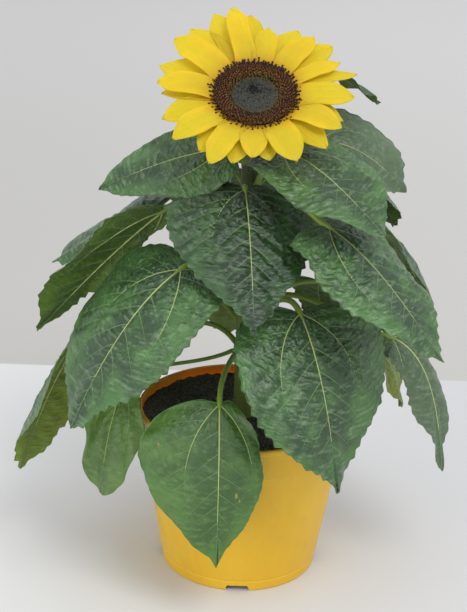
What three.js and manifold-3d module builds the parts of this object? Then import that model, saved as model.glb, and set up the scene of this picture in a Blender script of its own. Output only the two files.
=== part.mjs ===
// Dwarf sunflower in a round plastic nursery pot: pot, soil, stem, leaves on their stalks, and one flower
// head with its ray petals. Millimetres, +Z up. The origin is the centre of the pot's flat underside.
import * as THREE from 'three';
import { mergeVertices } from 'three/addons/utils/BufferGeometryUtils.js';
import Module from 'manifold-3d';

const wasm = await Module();
wasm.setup();

const GAP = 0.3; // clearance between neighbouring solids

// ---- Pot ------------------------------------------------------------------------------------------
const POT = {
  height: 103.3,
  baseRadius: 48,
  shoulderRadius: 62, // where the plain wall ends under the rim band
  shoulderHeight: 82.5,
  bandStep: 0.8, // how far the rim band stands out of the wall
  rimRadius: 65,
  lipHeight: 2.4,
  lipOverhang: 1.1,
  wall: 1.6,
  floor: 2,
  segments: 48,
  notches: 4,
  notchWidth: 14,
  notchHeight: 4,
};

// ---- Soil -----------------------------------------------------------------------------------------
const SOIL = {
  level: 98,
  segments: 36,
  rings: 5,
  lump: 1.3, // height of the uneven surface
  flatRadius: 12, // level round the stem's foot
};

// ---- Stem -----------------------------------------------------------------------------------------
const STEM = {
  foot: SOIL.level + GAP,
  nodPower: 8, // the higher, the later the neck bends forward
  footRadius: 6,
  neckRadius: 4.2,
  flare: 1.6, // root flare at the soil
  flareHeight: 7,
  lean: -3, // how far the neck stands to the side of the foot
  sides: 12,
  rings: 18,
};

// ---- Flower head ----------------------------------------------------------------------------------
const HEAD = {
  centre: new THREE.Vector3(-1.3, -21.3, 304), // middle of the face of the head
  elevation: 56, // how far the face looks up from the level, in degrees
  depth: 16, // receptacle behind the face
  rimRadius: 26.8,
  seatRadius: 24.8, // where the petals start
  discRadius: 24.2,
  centreRadius: 13,
  floretHeight: 4.8,
  floretTeeth: 18,
  segments: 36,
};

const BRACTS = { count: 13, length: 20, width: 11, thickness: 0.9, start: 20, lift: -14, droop: -26 };

// Ray petals of each whorl as [direction round the face in degrees, distance of the tip from the centre, width].
const FRONT_PETALS = [
  [0, 55, 14], [335, 53, 14], [297, 53, 15], [270, 46, 13], [246, 56, 13.5], [218, 56, 15],
  [174, 55, 14], [140, 61, 15], [105, 70, 14], [82, 51, 11], [54, 56, 12], [28, 54, 8],
];
const BACK_PETALS = [
  [345, 51, 13], [321, 52, 14], [278, 43, 11], [254, 46, 11], [234, 49, 12], [199, 52, 12.5], [177, 52, 11.5],
  [155, 58, 13.5], [130, 66, 13], [109, 72, 13], [89, 66, 12.5], [67, 59, 13], [45, 61, 14], [22, 62, 9],
];
const PETAL = {
  widestAt: 0.5, // how far out the widest part is, as a share of the length
  thickness: 0.7,
  trough: 18, // how far the sides curve up, in degrees
  rows: 5,
};
// footShare is the width at the foot, as a share of the widest part.
const FRONT_WHORL = { height: 1.9, lift: 22, droop: -20, footShare: 0.75 };
const BACK_WHORL = { height: 0.8, lift: 2, droop: -16, footShare: 0.62 };

// ---- Leaves ---------------------------------------------------------------------------------------
// Each leaf is a stalk and a heart-shaped blade. Lengths are millimetres and angles are degrees.
//   node     height on the stem where the stalk leaves it
//   heading  direction of the stalk seen from above, 0 along +X and -90 to the front
//   reach, height   place of the blade's foot: distance from the stem, and height
//   long, wide      size of the blade
//   turn, swing     turn of the blade from the stalk's heading at its foot, and its change to the tip
//   lift, droop, bend   slope of the midrib at its foot and at its tip, and how soon it bends over
//   roll, twist     roll of the blade about its midrib, and its change to the tip
//   fold, cup       how far the halves rise from the midrib, and curve down towards the margin
//   lobe, taper, bias   depth of the heart's notch, fineness of the point, and more width on one side
//   wave, waves, phase  height, number and place of the waves along the margin
//   launch   slope at which the stalk leaves the stem
const LEAF_RULE = {
  turn: 0, swing: 0, lift: -20, droop: -70, bend: 0.5, roll: 0, twist: 0, fold: 0, cup: 18,
  lobe: 0.2, taper: 1.5, bias: 0, wave: 2, waves: 3, phase: 0, launch: 40,
};
const LEAVES = {
  collar_left: {
    node: 262, heading: -150, reach: 17, height: 270, long: 80, wide: 50, turn: -34, swing: -4, lift: -8,
    droop: -30, bend: 0.6, roll: -36, fold: 6, cup: 14, taper: 2.2, bias: 0.12,
  },
  collar_right: {
    node: 263, heading: -48, reach: 28, height: 274, long: 84, wide: 68, turn: 4, swing: 6, lift: 0,
    droop: -38, bend: 0.6, roll: 8, fold: 4, cup: 14, phase: 1,
  },
  shoulder_right: {
    node: 256, heading: 8, reach: 40, height: 272, long: 64, wide: 52, swing: -8, lift: 8, droop: -48,
    roll: 38, fold: 4, cup: 14, phase: 2,
  },
  crown_right: {
    node: 272, heading: 22, reach: 54, height: 309, long: 31, wide: 26, turn: -10, lift: -18, droop: -42,
    roll: -10, phase: 1, launch: 20,
  },
  back_right_high: {
    node: 246, heading: 32, reach: 47, height: 255, long: 84, wide: 58, lift: 4, droop: -62, phase: 1,
  },
  back_high: {
    node: 250, heading: 86, reach: 34, height: 274, long: 80, wide: 62, lift: 0, droop: -60, phase: 2,
  },
  back_left_high: {
    node: 248, heading: 138, reach: 42, height: 259, long: 84, wide: 56, lift: 0, droop: -50, phase: 0.4,
  },
  front: {
    node: 236, heading: -96, reach: 26, height: 251.5, long: 96, wide: 88, turn: 12, swing: 4, lift: -10,
    droop: -66, roll: -4, fold: -4, cup: 28, lobe: 0.22, taper: 3.3, bias: -0.06, phase: 0.5,
  },
  right_front: {
    node: 248, heading: -47, reach: 65, height: 238, long: 102, wide: 74, turn: 10, swing: 12, lift: -15,
    droop: -52, roll: 4, fold: -2, cup: 22, lobe: 0.16, taper: 1.6, bias: 0.05, phase: 1.5, launch: 78,
  },
  right_high: {
    node: 214, heading: 6, reach: 58, height: 231, long: 92, wide: 56, lift: -10, droop: -72, roll: -12,
    phase: 0.6,
  },
  back: {
    node: 226, heading: 98, reach: 56, height: 238, long: 104, wide: 78, lift: -12, droop: -64, phase: 1.3,
  },
  back_right: {
    node: 206, heading: 56, reach: 62, height: 218, long: 104, wide: 80, lift: -12, droop: -66, phase: 2.1,
  },
  left_high: {
    node: 216, heading: 182, reach: 50, height: 229, long: 110, wide: 54, lift: -40, droop: -50, bend: 0.6,
    roll: 46, fold: -6, cup: 6, lobe: 0.05, bias: 0.42, phase: 1.2,
  },
  left_back_high: {
    node: 206, heading: 151, reach: 62, height: 220, long: 80, wide: 56, turn: 22, lift: -14, droop: -42,
    roll: -9, bias: -0.3, phase: 0.1,
  },
  left_front: {
    node: 190, heading: -130, reach: 58, height: 208, long: 114, wide: 98, turn: -11, swing: -10, lift: -20,
    droop: -64, roll: -5, fold: -2, cup: 20, lobe: 0.2, taper: 1.4, bias: -0.16, phase: 2.5,
  },
  back_left: {
    node: 160, heading: 143, reach: 68, height: 166, long: 106, wide: 64, lift: -18, droop: -70, phase: 1.7,
  },
  back_low: {
    node: 180, heading: 101, reach: 64, height: 180, long: 104, wide: 74, turn: -12, lift: -20, droop: -70,
    phase: 0.8,
  },
  low_front_right: {
    node: 165, heading: -60, reach: 60, height: 187, long: 110, wide: 98, turn: -8, swing: 28, lift: -25,
    droop: -80, bend: 0.4, cup: 16, lobe: 0.13, taper: 2.0, bias: -0.04, phase: 0.2,
  },
  left_low: {
    node: 170, heading: 180, reach: 91, height: 157, long: 116, wide: 74, turn: -3, lift: -50, droop: -74,
    roll: 30, fold: -10, cup: 30, phase: 2.2,
  },
  right_low: {
    node: 172, heading: -12, reach: 88, height: 160, long: 98, wide: 34, turn: 2, lift: -10, droop: -82,
    bend: 0.25, roll: 30, fold: -8, cup: 30, taper: 1, bias: 0.1, phase: 0.9,
  },
  right_back_low: {
    node: 160, heading: 48, reach: 72, height: 166, long: 82, wide: 70, lift: -20, droop: -86, phase: 1.9,
  },
  right_small: {
    node: 150, heading: 12, reach: 86, height: 136, long: 44, wide: 26, lift: -45, droop: -78, roll: 25,
    phase: 0.3,
  },
  foot_front: {
    node: 146, heading: -103, reach: 62, height: 132, long: 98, wide: 72, turn: 16, lift: -40, droop: -80,
    bend: 0.3, cup: 12, lobe: 0.06, taper: 2.5, bias: -0.26, wave: 1, phase: 0.2, launch: 10,
  },
  foot_left: {
    node: 140, heading: -172, reach: 73, height: 117, long: 69, wide: 49, turn: 54, swing: -10, lift: -30,
    droop: -82, bend: 0.3, roll: 10, cup: 16, lobe: 0.04, taper: 0.4, bias: -0.05, launch: 15,
  },
  foot_back_left: {
    node: 144, heading: 145, reach: 70, height: 131, long: 90, wide: 58, lift: -30, droop: -80, bend: 0.4,
    phase: 1.1,
  },
  foot_back: {
    node: 136, heading: 62, reach: 68, height: 130, long: 88, wide: 66, lift: -30, droop: -80, bend: 0.4,
    phase: 2.6,
  },
};
const BLADE = {
  columns: 10, // on each side of the midrib
  rows: 3,
  sweep: 0.975, // share of the half turn that the margin's angle runs through
  thicknessShare: 0.0115,
  ribShare: 0.012, // depth of the midrib under the blade, as a share of the blade's length
  stalkShare: 0.017, // radius of the stalk, as a share of the blade's length
  stalkSides: 5,
  stalkSteps: 6,
};

// ---- Finishes -------------------------------------------------------------------------------------
const finish = (color, roughness) => new THREE.MeshStandardMaterial({ color, roughness, metalness: 0 });
const FINISHES = {
  pot: finish(0xdeb83c, 0.45),
  soil: finish(0x2b211b, 1),
  stem: finish(0x8fa055, 0.7),
  leaf: finish(0x4f6e4c, 0.65),
  bract: finish(0x6f8a45, 0.7),
  petal: finish(0xf2bd1c, 0.55),
  floret: finish(0x3c2418, 0.9),
  centre: finish(0x6d6f66, 0.9),
};

const plant = new THREE.Group();
const rad = THREE.MathUtils.degToRad;
const UP = new THREE.Vector3(0, 0, 1);

function addPart(name, geometry, material) {
  const mesh = new THREE.Mesh(geometry, material);
  mesh.name = name;
  plant.add(mesh);
  return mesh;
}

// ---- Helpers for closed meshes --------------------------------------------------------------------
function closedMesh(points, triangles) {
  const geometry = new THREE.BufferGeometry();
  geometry.setAttribute('position', new THREE.Float32BufferAttribute(points.flatMap((p) => p.toArray()), 3));
  geometry.setIndex(triangles.flat());
  return geometry;
}

function toSolid(geometry) {
  const bare = geometry.clone();
  bare.deleteAttribute('normal');
  bare.deleteAttribute('uv');
  const merged = mergeVertices(bare, 1e-4);
  return new wasm.Manifold(new wasm.Mesh({
    numProp: 3,
    vertProperties: new Float32Array(merged.attributes.position.array),
    triVerts: new Uint32Array(merged.index.array),
  }));
}

function toGeometry(solid) {
  const mesh = solid.getMesh();
  const geometry = new THREE.BufferGeometry();
  geometry.setAttribute('position', new THREE.BufferAttribute(mesh.vertProperties, 3));
  geometry.setIndex(new THREE.BufferAttribute(mesh.triVerts, 1));
  return geometry;
}

// A round limb through the given centres, with a radius at each and a flat end at both ends.
function limb(centres, radii, sides, firstDirection, lastDirection) {
  const points = [];
  const triangles = [];
  const last = centres.length - 1;
  const tangents = centres.map((c, i) => centres[Math.min(i + 1, last)].clone()
    .sub(centres[Math.max(i - 1, 0)]).normalize());
  tangents[0] = firstDirection.clone();
  if (lastDirection) tangents[last] = lastDirection.clone();
  const across = Math.abs(tangents[0].z) > 0.9 ? new THREE.Vector3(1, 0, 0) : UP.clone().cross(tangents[0]);
  for (let i = 0; i <= last; i += 1) {
    across.addScaledVector(tangents[i], -across.dot(tangents[i])).normalize();
    const other = tangents[i].clone().cross(across);
    for (let k = 0; k < sides; k += 1) {
      const angle = (2 * Math.PI * k) / sides;
      points.push(centres[i].clone()
        .addScaledVector(across, radii[i] * Math.cos(angle))
        .addScaledVector(other, radii[i] * Math.sin(angle)));
    }
  }
  for (let i = 0; i < last; i += 1) {
    for (let k = 0; k < sides; k += 1) {
      const a = i * sides + k;
      const b = i * sides + ((k + 1) % sides);
      triangles.push([a, b, b + sides], [a, b + sides, a + sides]);
    }
  }
  const foot = points.push(centres[0].clone()) - 1;
  const tip = points.push(centres[last].clone()) - 1;
  for (let k = 0; k < sides; k += 1) {
    const next = (k + 1) % sides;
    triangles.push([foot, next, k], [tip, last * sides + k, last * sides + next]);
  }
  return closedMesh(points, triangles);
}

// A closed sheet: the middle surface is thickened to both sides, and its edge is closed by a strip.
// above(i) and below(i) give the thickness on each side at point i, and edge lists the points round the rim.
function sheet(points, triangles, edge, above, below) {
  const middle = closedMesh(points, triangles);
  middle.computeVertexNormals();
  const normals = middle.attributes.normal;
  const count = points.length;
  const shifted = (i, distance) => points[i].clone()
    .addScaledVector(new THREE.Vector3().fromBufferAttribute(normals, i), distance);
  const all = [
    ...points.map((_, i) => shifted(i, above(i))),
    ...points.map((_, i) => shifted(i, -below(i))),
  ];
  const faces = [...triangles, ...triangles.map(([a, b, c]) => [c + count, b + count, a + count])];
  edge.forEach((p, k) => {
    const q = edge[(k + 1) % edge.length];
    faces.push([q, p, p + count], [q, p + count, q + count]);
  });
  return closedMesh(all, faces);
}

// ---- Pot and soil ---------------------------------------------------------------------------------
function innerRadius(z) {
  const slope = (POT.shoulderRadius - POT.baseRadius) / POT.shoulderHeight;
  return POT.baseRadius - POT.wall + slope * z;
}

function makePot() {
  const bandTop = POT.height - POT.lipHeight;
  const profile = [
    [0, 0],
    [POT.baseRadius - 0.8, 0],
    [POT.baseRadius, 0.8],
    [POT.shoulderRadius, POT.shoulderHeight],
    [POT.shoulderRadius + POT.bandStep, POT.shoulderHeight + 0.6],
    [POT.rimRadius - POT.lipOverhang, bandTop - 0.8],
    [POT.rimRadius, bandTop],
    [POT.rimRadius, POT.height - 0.5],
    [POT.rimRadius - 0.6, POT.height],
    [POT.rimRadius - 2, POT.height],
    [innerRadius(SOIL.level), SOIL.level],
    [innerRadius(POT.floor), POT.floor],
    [0, POT.floor],
  ].map(([x, y]) => new THREE.Vector2(x, y));
  const body = new THREE.LatheGeometry(profile, POT.segments);
  body.rotateX(Math.PI / 2);
  let pot = toSolid(body);
  for (let k = 0; k < POT.notches; k += 1) {
    const cutter = new THREE.BoxGeometry(10, POT.notchWidth, 2 * POT.notchHeight);
    cutter.translate(POT.baseRadius, 0, 0);
    cutter.rotateZ((2 * Math.PI * (k - 0.25 * POT.notches)) / POT.notches);
    pot = pot.subtract(toSolid(cutter));
  }
  return toGeometry(pot);
}

// The soil fills the pot from just over its floor. Its top is level at the stem and uneven elsewhere.
function makeSoil() {
  const bottom = POT.floor + GAP;
  const points = [new THREE.Vector3(0, 0, SOIL.level)];
  const lump = (x, y) => SOIL.lump * Math.sin(0.19 * x + 0.7) * Math.cos(0.23 * y + 0.05 * x - 0.4);
  const edgeRadius = innerRadius(SOIL.level) - 2 * GAP;
  for (let ring = 1; ring <= SOIL.rings; ring += 1) {
    const radius = SOIL.flatRadius + ((edgeRadius - SOIL.flatRadius) * (ring - 1)) / (SOIL.rings - 1);
    for (let k = 0; k < SOIL.segments; k += 1) {
      const angle = (2 * Math.PI * k) / SOIL.segments;
      const x = radius * Math.cos(angle);
      const y = radius * Math.sin(angle);
      const uneven = ring === 1 || ring === SOIL.rings ? 0 : lump(x, y);
      points.push(new THREE.Vector3(x, y, SOIL.level + uneven));
    }
  }
  const bottomRadius = innerRadius(bottom) - 2 * GAP;
  for (let k = 0; k < SOIL.segments; k += 1) {
    const angle = (2 * Math.PI * k) / SOIL.segments;
    points.push(new THREE.Vector3(bottomRadius * Math.cos(angle), bottomRadius * Math.sin(angle), bottom));
  }
  const foot = points.push(new THREE.Vector3(0, 0, bottom)) - 1;
  const triangles = [];
  for (let k = 0; k < SOIL.segments; k += 1) {
    const next = (k + 1) % SOIL.segments;
    triangles.push([0, 1 + k, 1 + next]);
    for (let ring = 0; ring < SOIL.rings; ring += 1) {
      const a = 1 + ring * SOIL.segments + k;
      const b = 1 + ring * SOIL.segments + next;
      triangles.push([a, a + SOIL.segments, b + SOIL.segments], [a, b + SOIL.segments, b]);
    }
    const last = 1 + SOIL.rings * SOIL.segments;
    triangles.push([foot, last + next, last + k]);
  }
  return closedMesh(points, triangles);
}

// ---- Stem -----------------------------------------------------------------------------------------
const faceNormal = new THREE.Vector3(0, -Math.cos(rad(HEAD.elevation)), Math.sin(rad(HEAD.elevation)));
const neckEnd = HEAD.centre.clone().addScaledVector(faceNormal, -HEAD.depth - GAP).setX(STEM.lean);

// The stem leans evenly sideways, and bends forward only at the neck, where it meets the flower head.
function stemAxis(z) {
  const t = Math.max(0, (z - SOIL.level) / (neckEnd.z - SOIL.level));
  return new THREE.Vector3(neckEnd.x * t, neckEnd.y * t ** STEM.nodPower, z);
}

function stemRadius(z) {
  const t = (z - SOIL.level) / (neckEnd.z - SOIL.level);
  const flare = STEM.flare * Math.exp(-(z - STEM.foot) / STEM.flareHeight);
  return STEM.footRadius + (STEM.neckRadius - STEM.footRadius) * t + flare;
}

function makeStem() {
  const heights = Array.from({ length: STEM.rings }, (_, i) => {
    const t = i / (STEM.rings - 1);
    return STEM.foot + (neckEnd.z - STEM.foot) * t ** 1.15;
  });
  return limb(heights.map(stemAxis), heights.map(stemRadius), STEM.sides, UP, faceNormal);
}

// ---- Leaves ---------------------------------------------------------------------------------------
function leafSpine(leaf, steps = 40) {
  const heading = rad(leaf.heading);
  const position = stemAxis(leaf.node);
  position.x += leaf.reach * Math.cos(heading);
  position.y += leaf.reach * Math.sin(heading);
  position.z = leaf.height;
  const spine = [];
  for (let i = 0; i <= steps; i += 1) {
    const s = i / steps;
    const sag = (1 - Math.exp(-s / leaf.bend)) / (1 - Math.exp(-1 / leaf.bend));
    const slope = rad(leaf.lift + (leaf.droop - leaf.lift) * sag);
    const azimuth = rad(leaf.heading + leaf.turn + leaf.swing * s);
    const roll = rad(leaf.roll + leaf.twist * s);
    const along = new THREE.Vector3(
      Math.cos(slope) * Math.cos(azimuth),
      Math.cos(slope) * Math.sin(azimuth),
      Math.sin(slope),
    );
    const level = new THREE.Vector3(-Math.sin(azimuth), Math.cos(azimuth), 0);
    const across = level.clone().applyAxisAngle(along, roll);
    if (i > 0) {
      const mean = along.clone().add(spine[i - 1].along).multiplyScalar(0.5);
      position.addScaledVector(mean, leaf.long / steps);
    }
    spine.push({ point: position.clone(), along, across, normal: along.clone().cross(across) });
  }
  return spine;
}

function spineAt(spine, share) {
  const place = THREE.MathUtils.clamp(share, 0, 1) * (spine.length - 1);
  const i = Math.min(Math.floor(place), spine.length - 2);
  const mix = (key) => spine[i][key].clone().lerp(spine[i + 1][key], place - i);
  return { point: mix('point'), across: mix('across').normalize(), normal: mix('normal').normalize() };
}

function widthCurve(angle, taper) {
  return Math.sin(angle) * Math.tanh(angle / 1.05) ** taper;
}

function widestCurve(taper) {
  let most = 0;
  for (let angle = 0; angle <= Math.PI; angle += 0.01) most = Math.max(most, widthCurve(angle, taper));
  return most;
}

// The margin at an angle: 0 at the tip, and plus or minus half a turn at the notch over the stalk.
function leafMargin(leaf, angle, widest) {
  const c = Math.abs(angle);
  const side = Math.sign(angle);
  const notch = 2 * leaf.lobe * Math.sin(c) * ((1 - Math.cos(c)) / 2) ** 2;
  return {
    along: leaf.long * ((Math.cos(c) + 1) / 2 - notch),
    aside: side * (1 + side * leaf.bias) * (leaf.wide / 2) * (widthCurve(c, leaf.taper) / widest),
  };
}

// A flat point of the blade, carried onto the bent, folded, cupped and waved surface.
function bladePoint(leaf, spine, along, aside, angle, share) {
  const { point, across, normal } = spineAt(spine, along / leaf.long);
  point.addScaledVector(spine[0].along, Math.min(along, 0));
  const half = leaf.wide / 2;
  const distance = Math.abs(aside);
  const fold = rad(leaf.fold);
  const bendRate = rad(leaf.cup) / half;
  const end = fold - bendRate * distance;
  const sideways = (Math.sin(fold) - Math.sin(end)) / bendRate;
  const rise = (Math.cos(end) - Math.cos(fold)) / bendRate;
  const ripple = Math.sin(2 * leaf.waves * angle + leaf.phase) * Math.min(1, distance / (0.25 * half));
  return point
    .addScaledVector(across, Math.sign(aside) * sideways)
    .addScaledVector(normal, rise + leaf.wave * share ** 2 * ripple);
}

function makeBlade(leaf, spine) {
  const span = 2 * BLADE.columns + 1;
  const widest = widestCurve(leaf.taper);
  const points = [bladePoint(leaf, spine, 0, 0, 0, 0)];
  for (let row = 1; row <= BLADE.rows; row += 1) {
    const share = row / BLADE.rows;
    for (let column = -BLADE.columns; column <= BLADE.columns; column += 1) {
      const angle = (BLADE.sweep * Math.PI * column) / BLADE.columns;
      const { along, aside } = leafMargin(leaf, angle, widest);
      points.push(bladePoint(leaf, spine, along * share, aside * share, angle, share));
    }
  }
  const triangles = [];
  for (let column = 0; column < span - 1; column += 1) {
    triangles.push([0, 1 + column, 2 + column]);
    for (let row = 0; row < BLADE.rows - 1; row += 1) {
      const a = 1 + row * span + column;
      triangles.push([a, a + span, a + span + 1], [a, a + span + 1, a + 1]);
    }
  }
  const edge = [0];
  for (let row = 0; row < BLADE.rows; row += 1) edge.push(1 + row * span);
  for (let column = 1; column < span; column += 1) edge.push(1 + (BLADE.rows - 1) * span + column);
  for (let row = BLADE.rows - 2; row >= 0; row -= 1) edge.push((row + 1) * span);
  const thickness = BLADE.thicknessShare * leaf.long;
  const onRib = (i) => i === 0 || (i - 1) % span === BLADE.columns;
  const share = (i) => (i === 0 ? 0 : Math.ceil(i / span) / BLADE.rows);
  const rib = (i) => (onRib(i) ? BLADE.ribShare * leaf.long * (1 - share(i)) : 0);
  return sheet(points, triangles, edge, () => thickness / 2, (i) => thickness / 2 + rib(i));
}

function makeStalk(leaf, spine) {
  const heading = rad(leaf.heading);
  const outward = new THREE.Vector3(Math.cos(heading), Math.sin(heading), 0);
  const start = stemAxis(leaf.node).addScaledVector(outward, stemRadius(leaf.node) + GAP);
  const launched = outward.clone().multiplyScalar(Math.cos(rad(leaf.launch)));
  launched.z = Math.sin(rad(leaf.launch));
  const bend = start.clone().addScaledVector(outward, 2);
  const end = spine[0].point;
  const span = end.distanceTo(bend);
  const curve = new THREE.CubicBezierCurve3(
    bend,
    bend.clone().addScaledVector(launched, 0.4 * span),
    end.clone().addScaledVector(spine[0].along, -0.35 * span),
    end,
  );
  const inside = spineAt(spine, 0.06).point;
  const centres = [start, ...curve.getPoints(BLADE.stalkSteps), inside];
  const radius = BLADE.stalkShare * leaf.long;
  const radii = centres.map((_, i) => (i === 0 ? 1.3 * radius : radius));
  radii[radii.length - 1] = 0.6 * radius;
  return limb(centres, radii, BLADE.stalkSides, outward);
}

function makeLeaf(leaf) {
  const spine = leafSpine(leaf);
  return toGeometry(toSolid(makeBlade(leaf, spine)).add(toSolid(makeStalk(leaf, spine))));
}

// ---- Flower head ----------------------------------------------------------------------------------
// Turns a geometry made round +Z at the origin into the head's place and tilt.
function seatOnHead(geometry) {
  geometry.rotateX(rad(90 - HEAD.elevation));
  geometry.translate(HEAD.centre.x, HEAD.centre.y, HEAD.centre.z);
  return geometry;
}

// A narrow blade that leaves the head in a direction, at a radius and height. It has length, rows, lift,
// droop, trough, thickness and a width(share) from foot to tip. Its sides rise in a trough towards the middle.
function makeRay(ray) {
  const heading = rad(ray.direction);
  const outward = new THREE.Vector3(Math.cos(heading), Math.sin(heading), 0);
  const across = new THREE.Vector3(-Math.sin(heading), Math.cos(heading), 0);
  const position = outward.clone().multiplyScalar(ray.radius).setZ(ray.height);
  const sides = ray.sides;
  const span = sides.length;
  const points = [];
  for (let row = 0; row <= ray.rows; row += 1) {
    const share = row / ray.rows;
    const slope = rad(ray.lift + (ray.droop - ray.lift) * share);
    const normal = UP.clone().multiplyScalar(Math.cos(slope)).addScaledVector(outward, -Math.sin(slope));
    if (row > 0) {
      position.addScaledVector(outward, (Math.cos(slope) * ray.length) / ray.rows);
      position.z += (Math.sin(slope) * ray.length) / ray.rows;
    }
    const half = ray.width(share) / 2;
    const depth = half * Math.tan(rad(ray.trough)) * Math.sin(Math.PI * Math.min(1, share + 0.1)) * 0.5;
    for (const side of sides) {
      points.push(position.clone().addScaledVector(across, half * side)
        .addScaledVector(normal, depth * side * side));
    }
  }
  const triangles = [];
  for (let row = 0; row < ray.rows; row += 1) {
    for (let k = 0; k < span - 1; k += 1) {
      const a = row * span + k;
      triangles.push([a, a + span, a + span + 1], [a, a + span + 1, a + 1]);
    }
  }
  const edge = [];
  for (let row = 0; row < ray.rows; row += 1) edge.push(row * span);
  for (let k = 0; k < span - 1; k += 1) edge.push(ray.rows * span + k);
  for (let row = ray.rows; row > 0; row -= 1) edge.push(row * span + span - 1);
  for (let k = span - 1; k > 0; k -= 1) edge.push(k);
  return sheet(points, triangles, edge, () => ray.thickness / 2, () => ray.thickness / 2);
}

function makePetal([direction, reach, wide], whorl) {
  return seatOnHead(makeRay({
    ...whorl,
    direction,
    radius: HEAD.seatRadius,
    length: 1.03 * (reach - HEAD.seatRadius), // the curved petal is a little longer than its reach
    width: (share) => wide * petalWidth(share, whorl.footShare) + 0.9 * share,
    trough: PETAL.trough,
    thickness: PETAL.thickness,
    rows: PETAL.rows,
    sides: [-1, -0.45, 0.45, 1],
  }));
}

// Width of a petal along its length, as a share of the widest: a strap that narrows to a blunt point.
function petalWidth(share, footShare) {
  const { widestAt } = PETAL;
  if (share < widestAt) return 1 - (1 - footShare) * (1 - share / widestAt) ** 2;
  return Math.cos((Math.PI / 2) * ((share - widestAt) / (1 - widestAt)) ** 1.15) ** 0.8;
}

function makeReceptacle() {
  const profile = [
    [0, -HEAD.depth],
    [5, -HEAD.depth],
    [9, -HEAD.depth + 2.5],
    [17, -HEAD.depth + 6],
    [24, -HEAD.depth + 11],
    [HEAD.rimRadius, -1.6],
    [HEAD.rimRadius, -0.4],
    [HEAD.rimRadius - 0.6, 0],
    [0, 0],
  ].map(([x, y]) => new THREE.Vector2(x, y));
  const cup = new THREE.LatheGeometry(profile, 24);
  cup.rotateX(Math.PI / 2);
  let solid = toSolid(cup);
  for (let k = 0; k < BRACTS.count; k += 1) {
    const bract = makeRay({
      direction: (360 * (k + 0.5)) / BRACTS.count,
      radius: BRACTS.start,
      height: -6.5,
      length: BRACTS.length * (1 + 0.12 * Math.sin(2.4 * k)),
      width: (share) => BRACTS.width * Math.sin(Math.PI * (0.25 + 0.72 * share)) + 0.6,
      lift: BRACTS.lift,
      droop: BRACTS.droop,
      trough: -20,
      thickness: BRACTS.thickness,
      rows: 3,
      sides: [-1, 0, 1],
    });
    solid = solid.add(toSolid(bract));
  }
  return seatOnHead(toGeometry(solid));
}

// The ring of open florets round the closed centre, with a toothed top.
function makeFlorets() {
  const inner = HEAD.centreRadius + GAP;
  const outer = HEAD.discRadius;
  const top = HEAD.floretHeight;
  const profile = [
    [inner, GAP], [outer - 1, GAP], [outer, 1.6], [outer - 1.4, 3.2], [outer - 4, top - 0.8],
    [outer - 6.5, top], [inner + 2, top - 1.8], [inner, 1.6], [inner, GAP],
  ].map(([x, y]) => new THREE.Vector2(x, y));
  const ring = new THREE.LatheGeometry(profile, HEAD.segments);
  ring.rotateX(Math.PI / 2);
  const position = ring.attributes.position;
  for (let i = 0; i < position.count; i += 1) {
    const angle = Math.atan2(position.getY(i), position.getX(i));
    const height = position.getZ(i);
    if (height > 3) position.setZ(i, height + 0.5 * Math.cos(HEAD.floretTeeth * angle));
  }
  return seatOnHead(toGeometry(toSolid(ring)));
}

function makeCentre() {
  const r = HEAD.centreRadius;
  const profile = [[0, GAP], [r - 0.3, GAP], [r, 1], [r - 2, 1.8], [r / 2, 1.9], [r / 6, 1.6], [0, 1.4]];
  const centre = new THREE.LatheGeometry(profile.map(([x, y]) => new THREE.Vector2(x, y)), 32);
  centre.rotateX(Math.PI / 2);
  return seatOnHead(toGeometry(toSolid(centre)));
}

// ---- The plant ------------------------------------------------------------------------------------
addPart('pot', makePot(), FINISHES.pot);
addPart('soil', makeSoil(), FINISHES.soil);
addPart('stem', makeStem(), FINISHES.stem);
for (const [name, leaf] of Object.entries(LEAVES)) {
  addPart(`leaf_${name}`, makeLeaf({ ...LEAF_RULE, ...leaf }), FINISHES.leaf);
}
addPart('receptacle', makeReceptacle(), FINISHES.bract);
addPart('florets', makeFlorets(), FINISHES.floret);
addPart('flower_centre', makeCentre(), FINISHES.centre);
FRONT_PETALS.forEach((petal, i) => {
  addPart(`petal_front_${i + 1}`, makePetal(petal, FRONT_WHORL), FINISHES.petal);
});
BACK_PETALS.forEach((petal, i) => {
  addPart(`petal_back_${i + 1}`, makePetal(petal, BACK_WHORL), FINISHES.petal);
});

export default plant;
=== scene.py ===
# %% [markdown]
# # A potted dwarf sunflower, built piece by piece
#
# The plant has one stem, a skirt of large heart-shaped leaves and a single flower head, and it stands in a
# yellow nursery pot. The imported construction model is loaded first, and it fixes where everything is. The
# cells after it grow the fine surfaces in the same places: the same leaf rule, carried to veins, teeth and
# puckers that are too small for the construction model.

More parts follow.
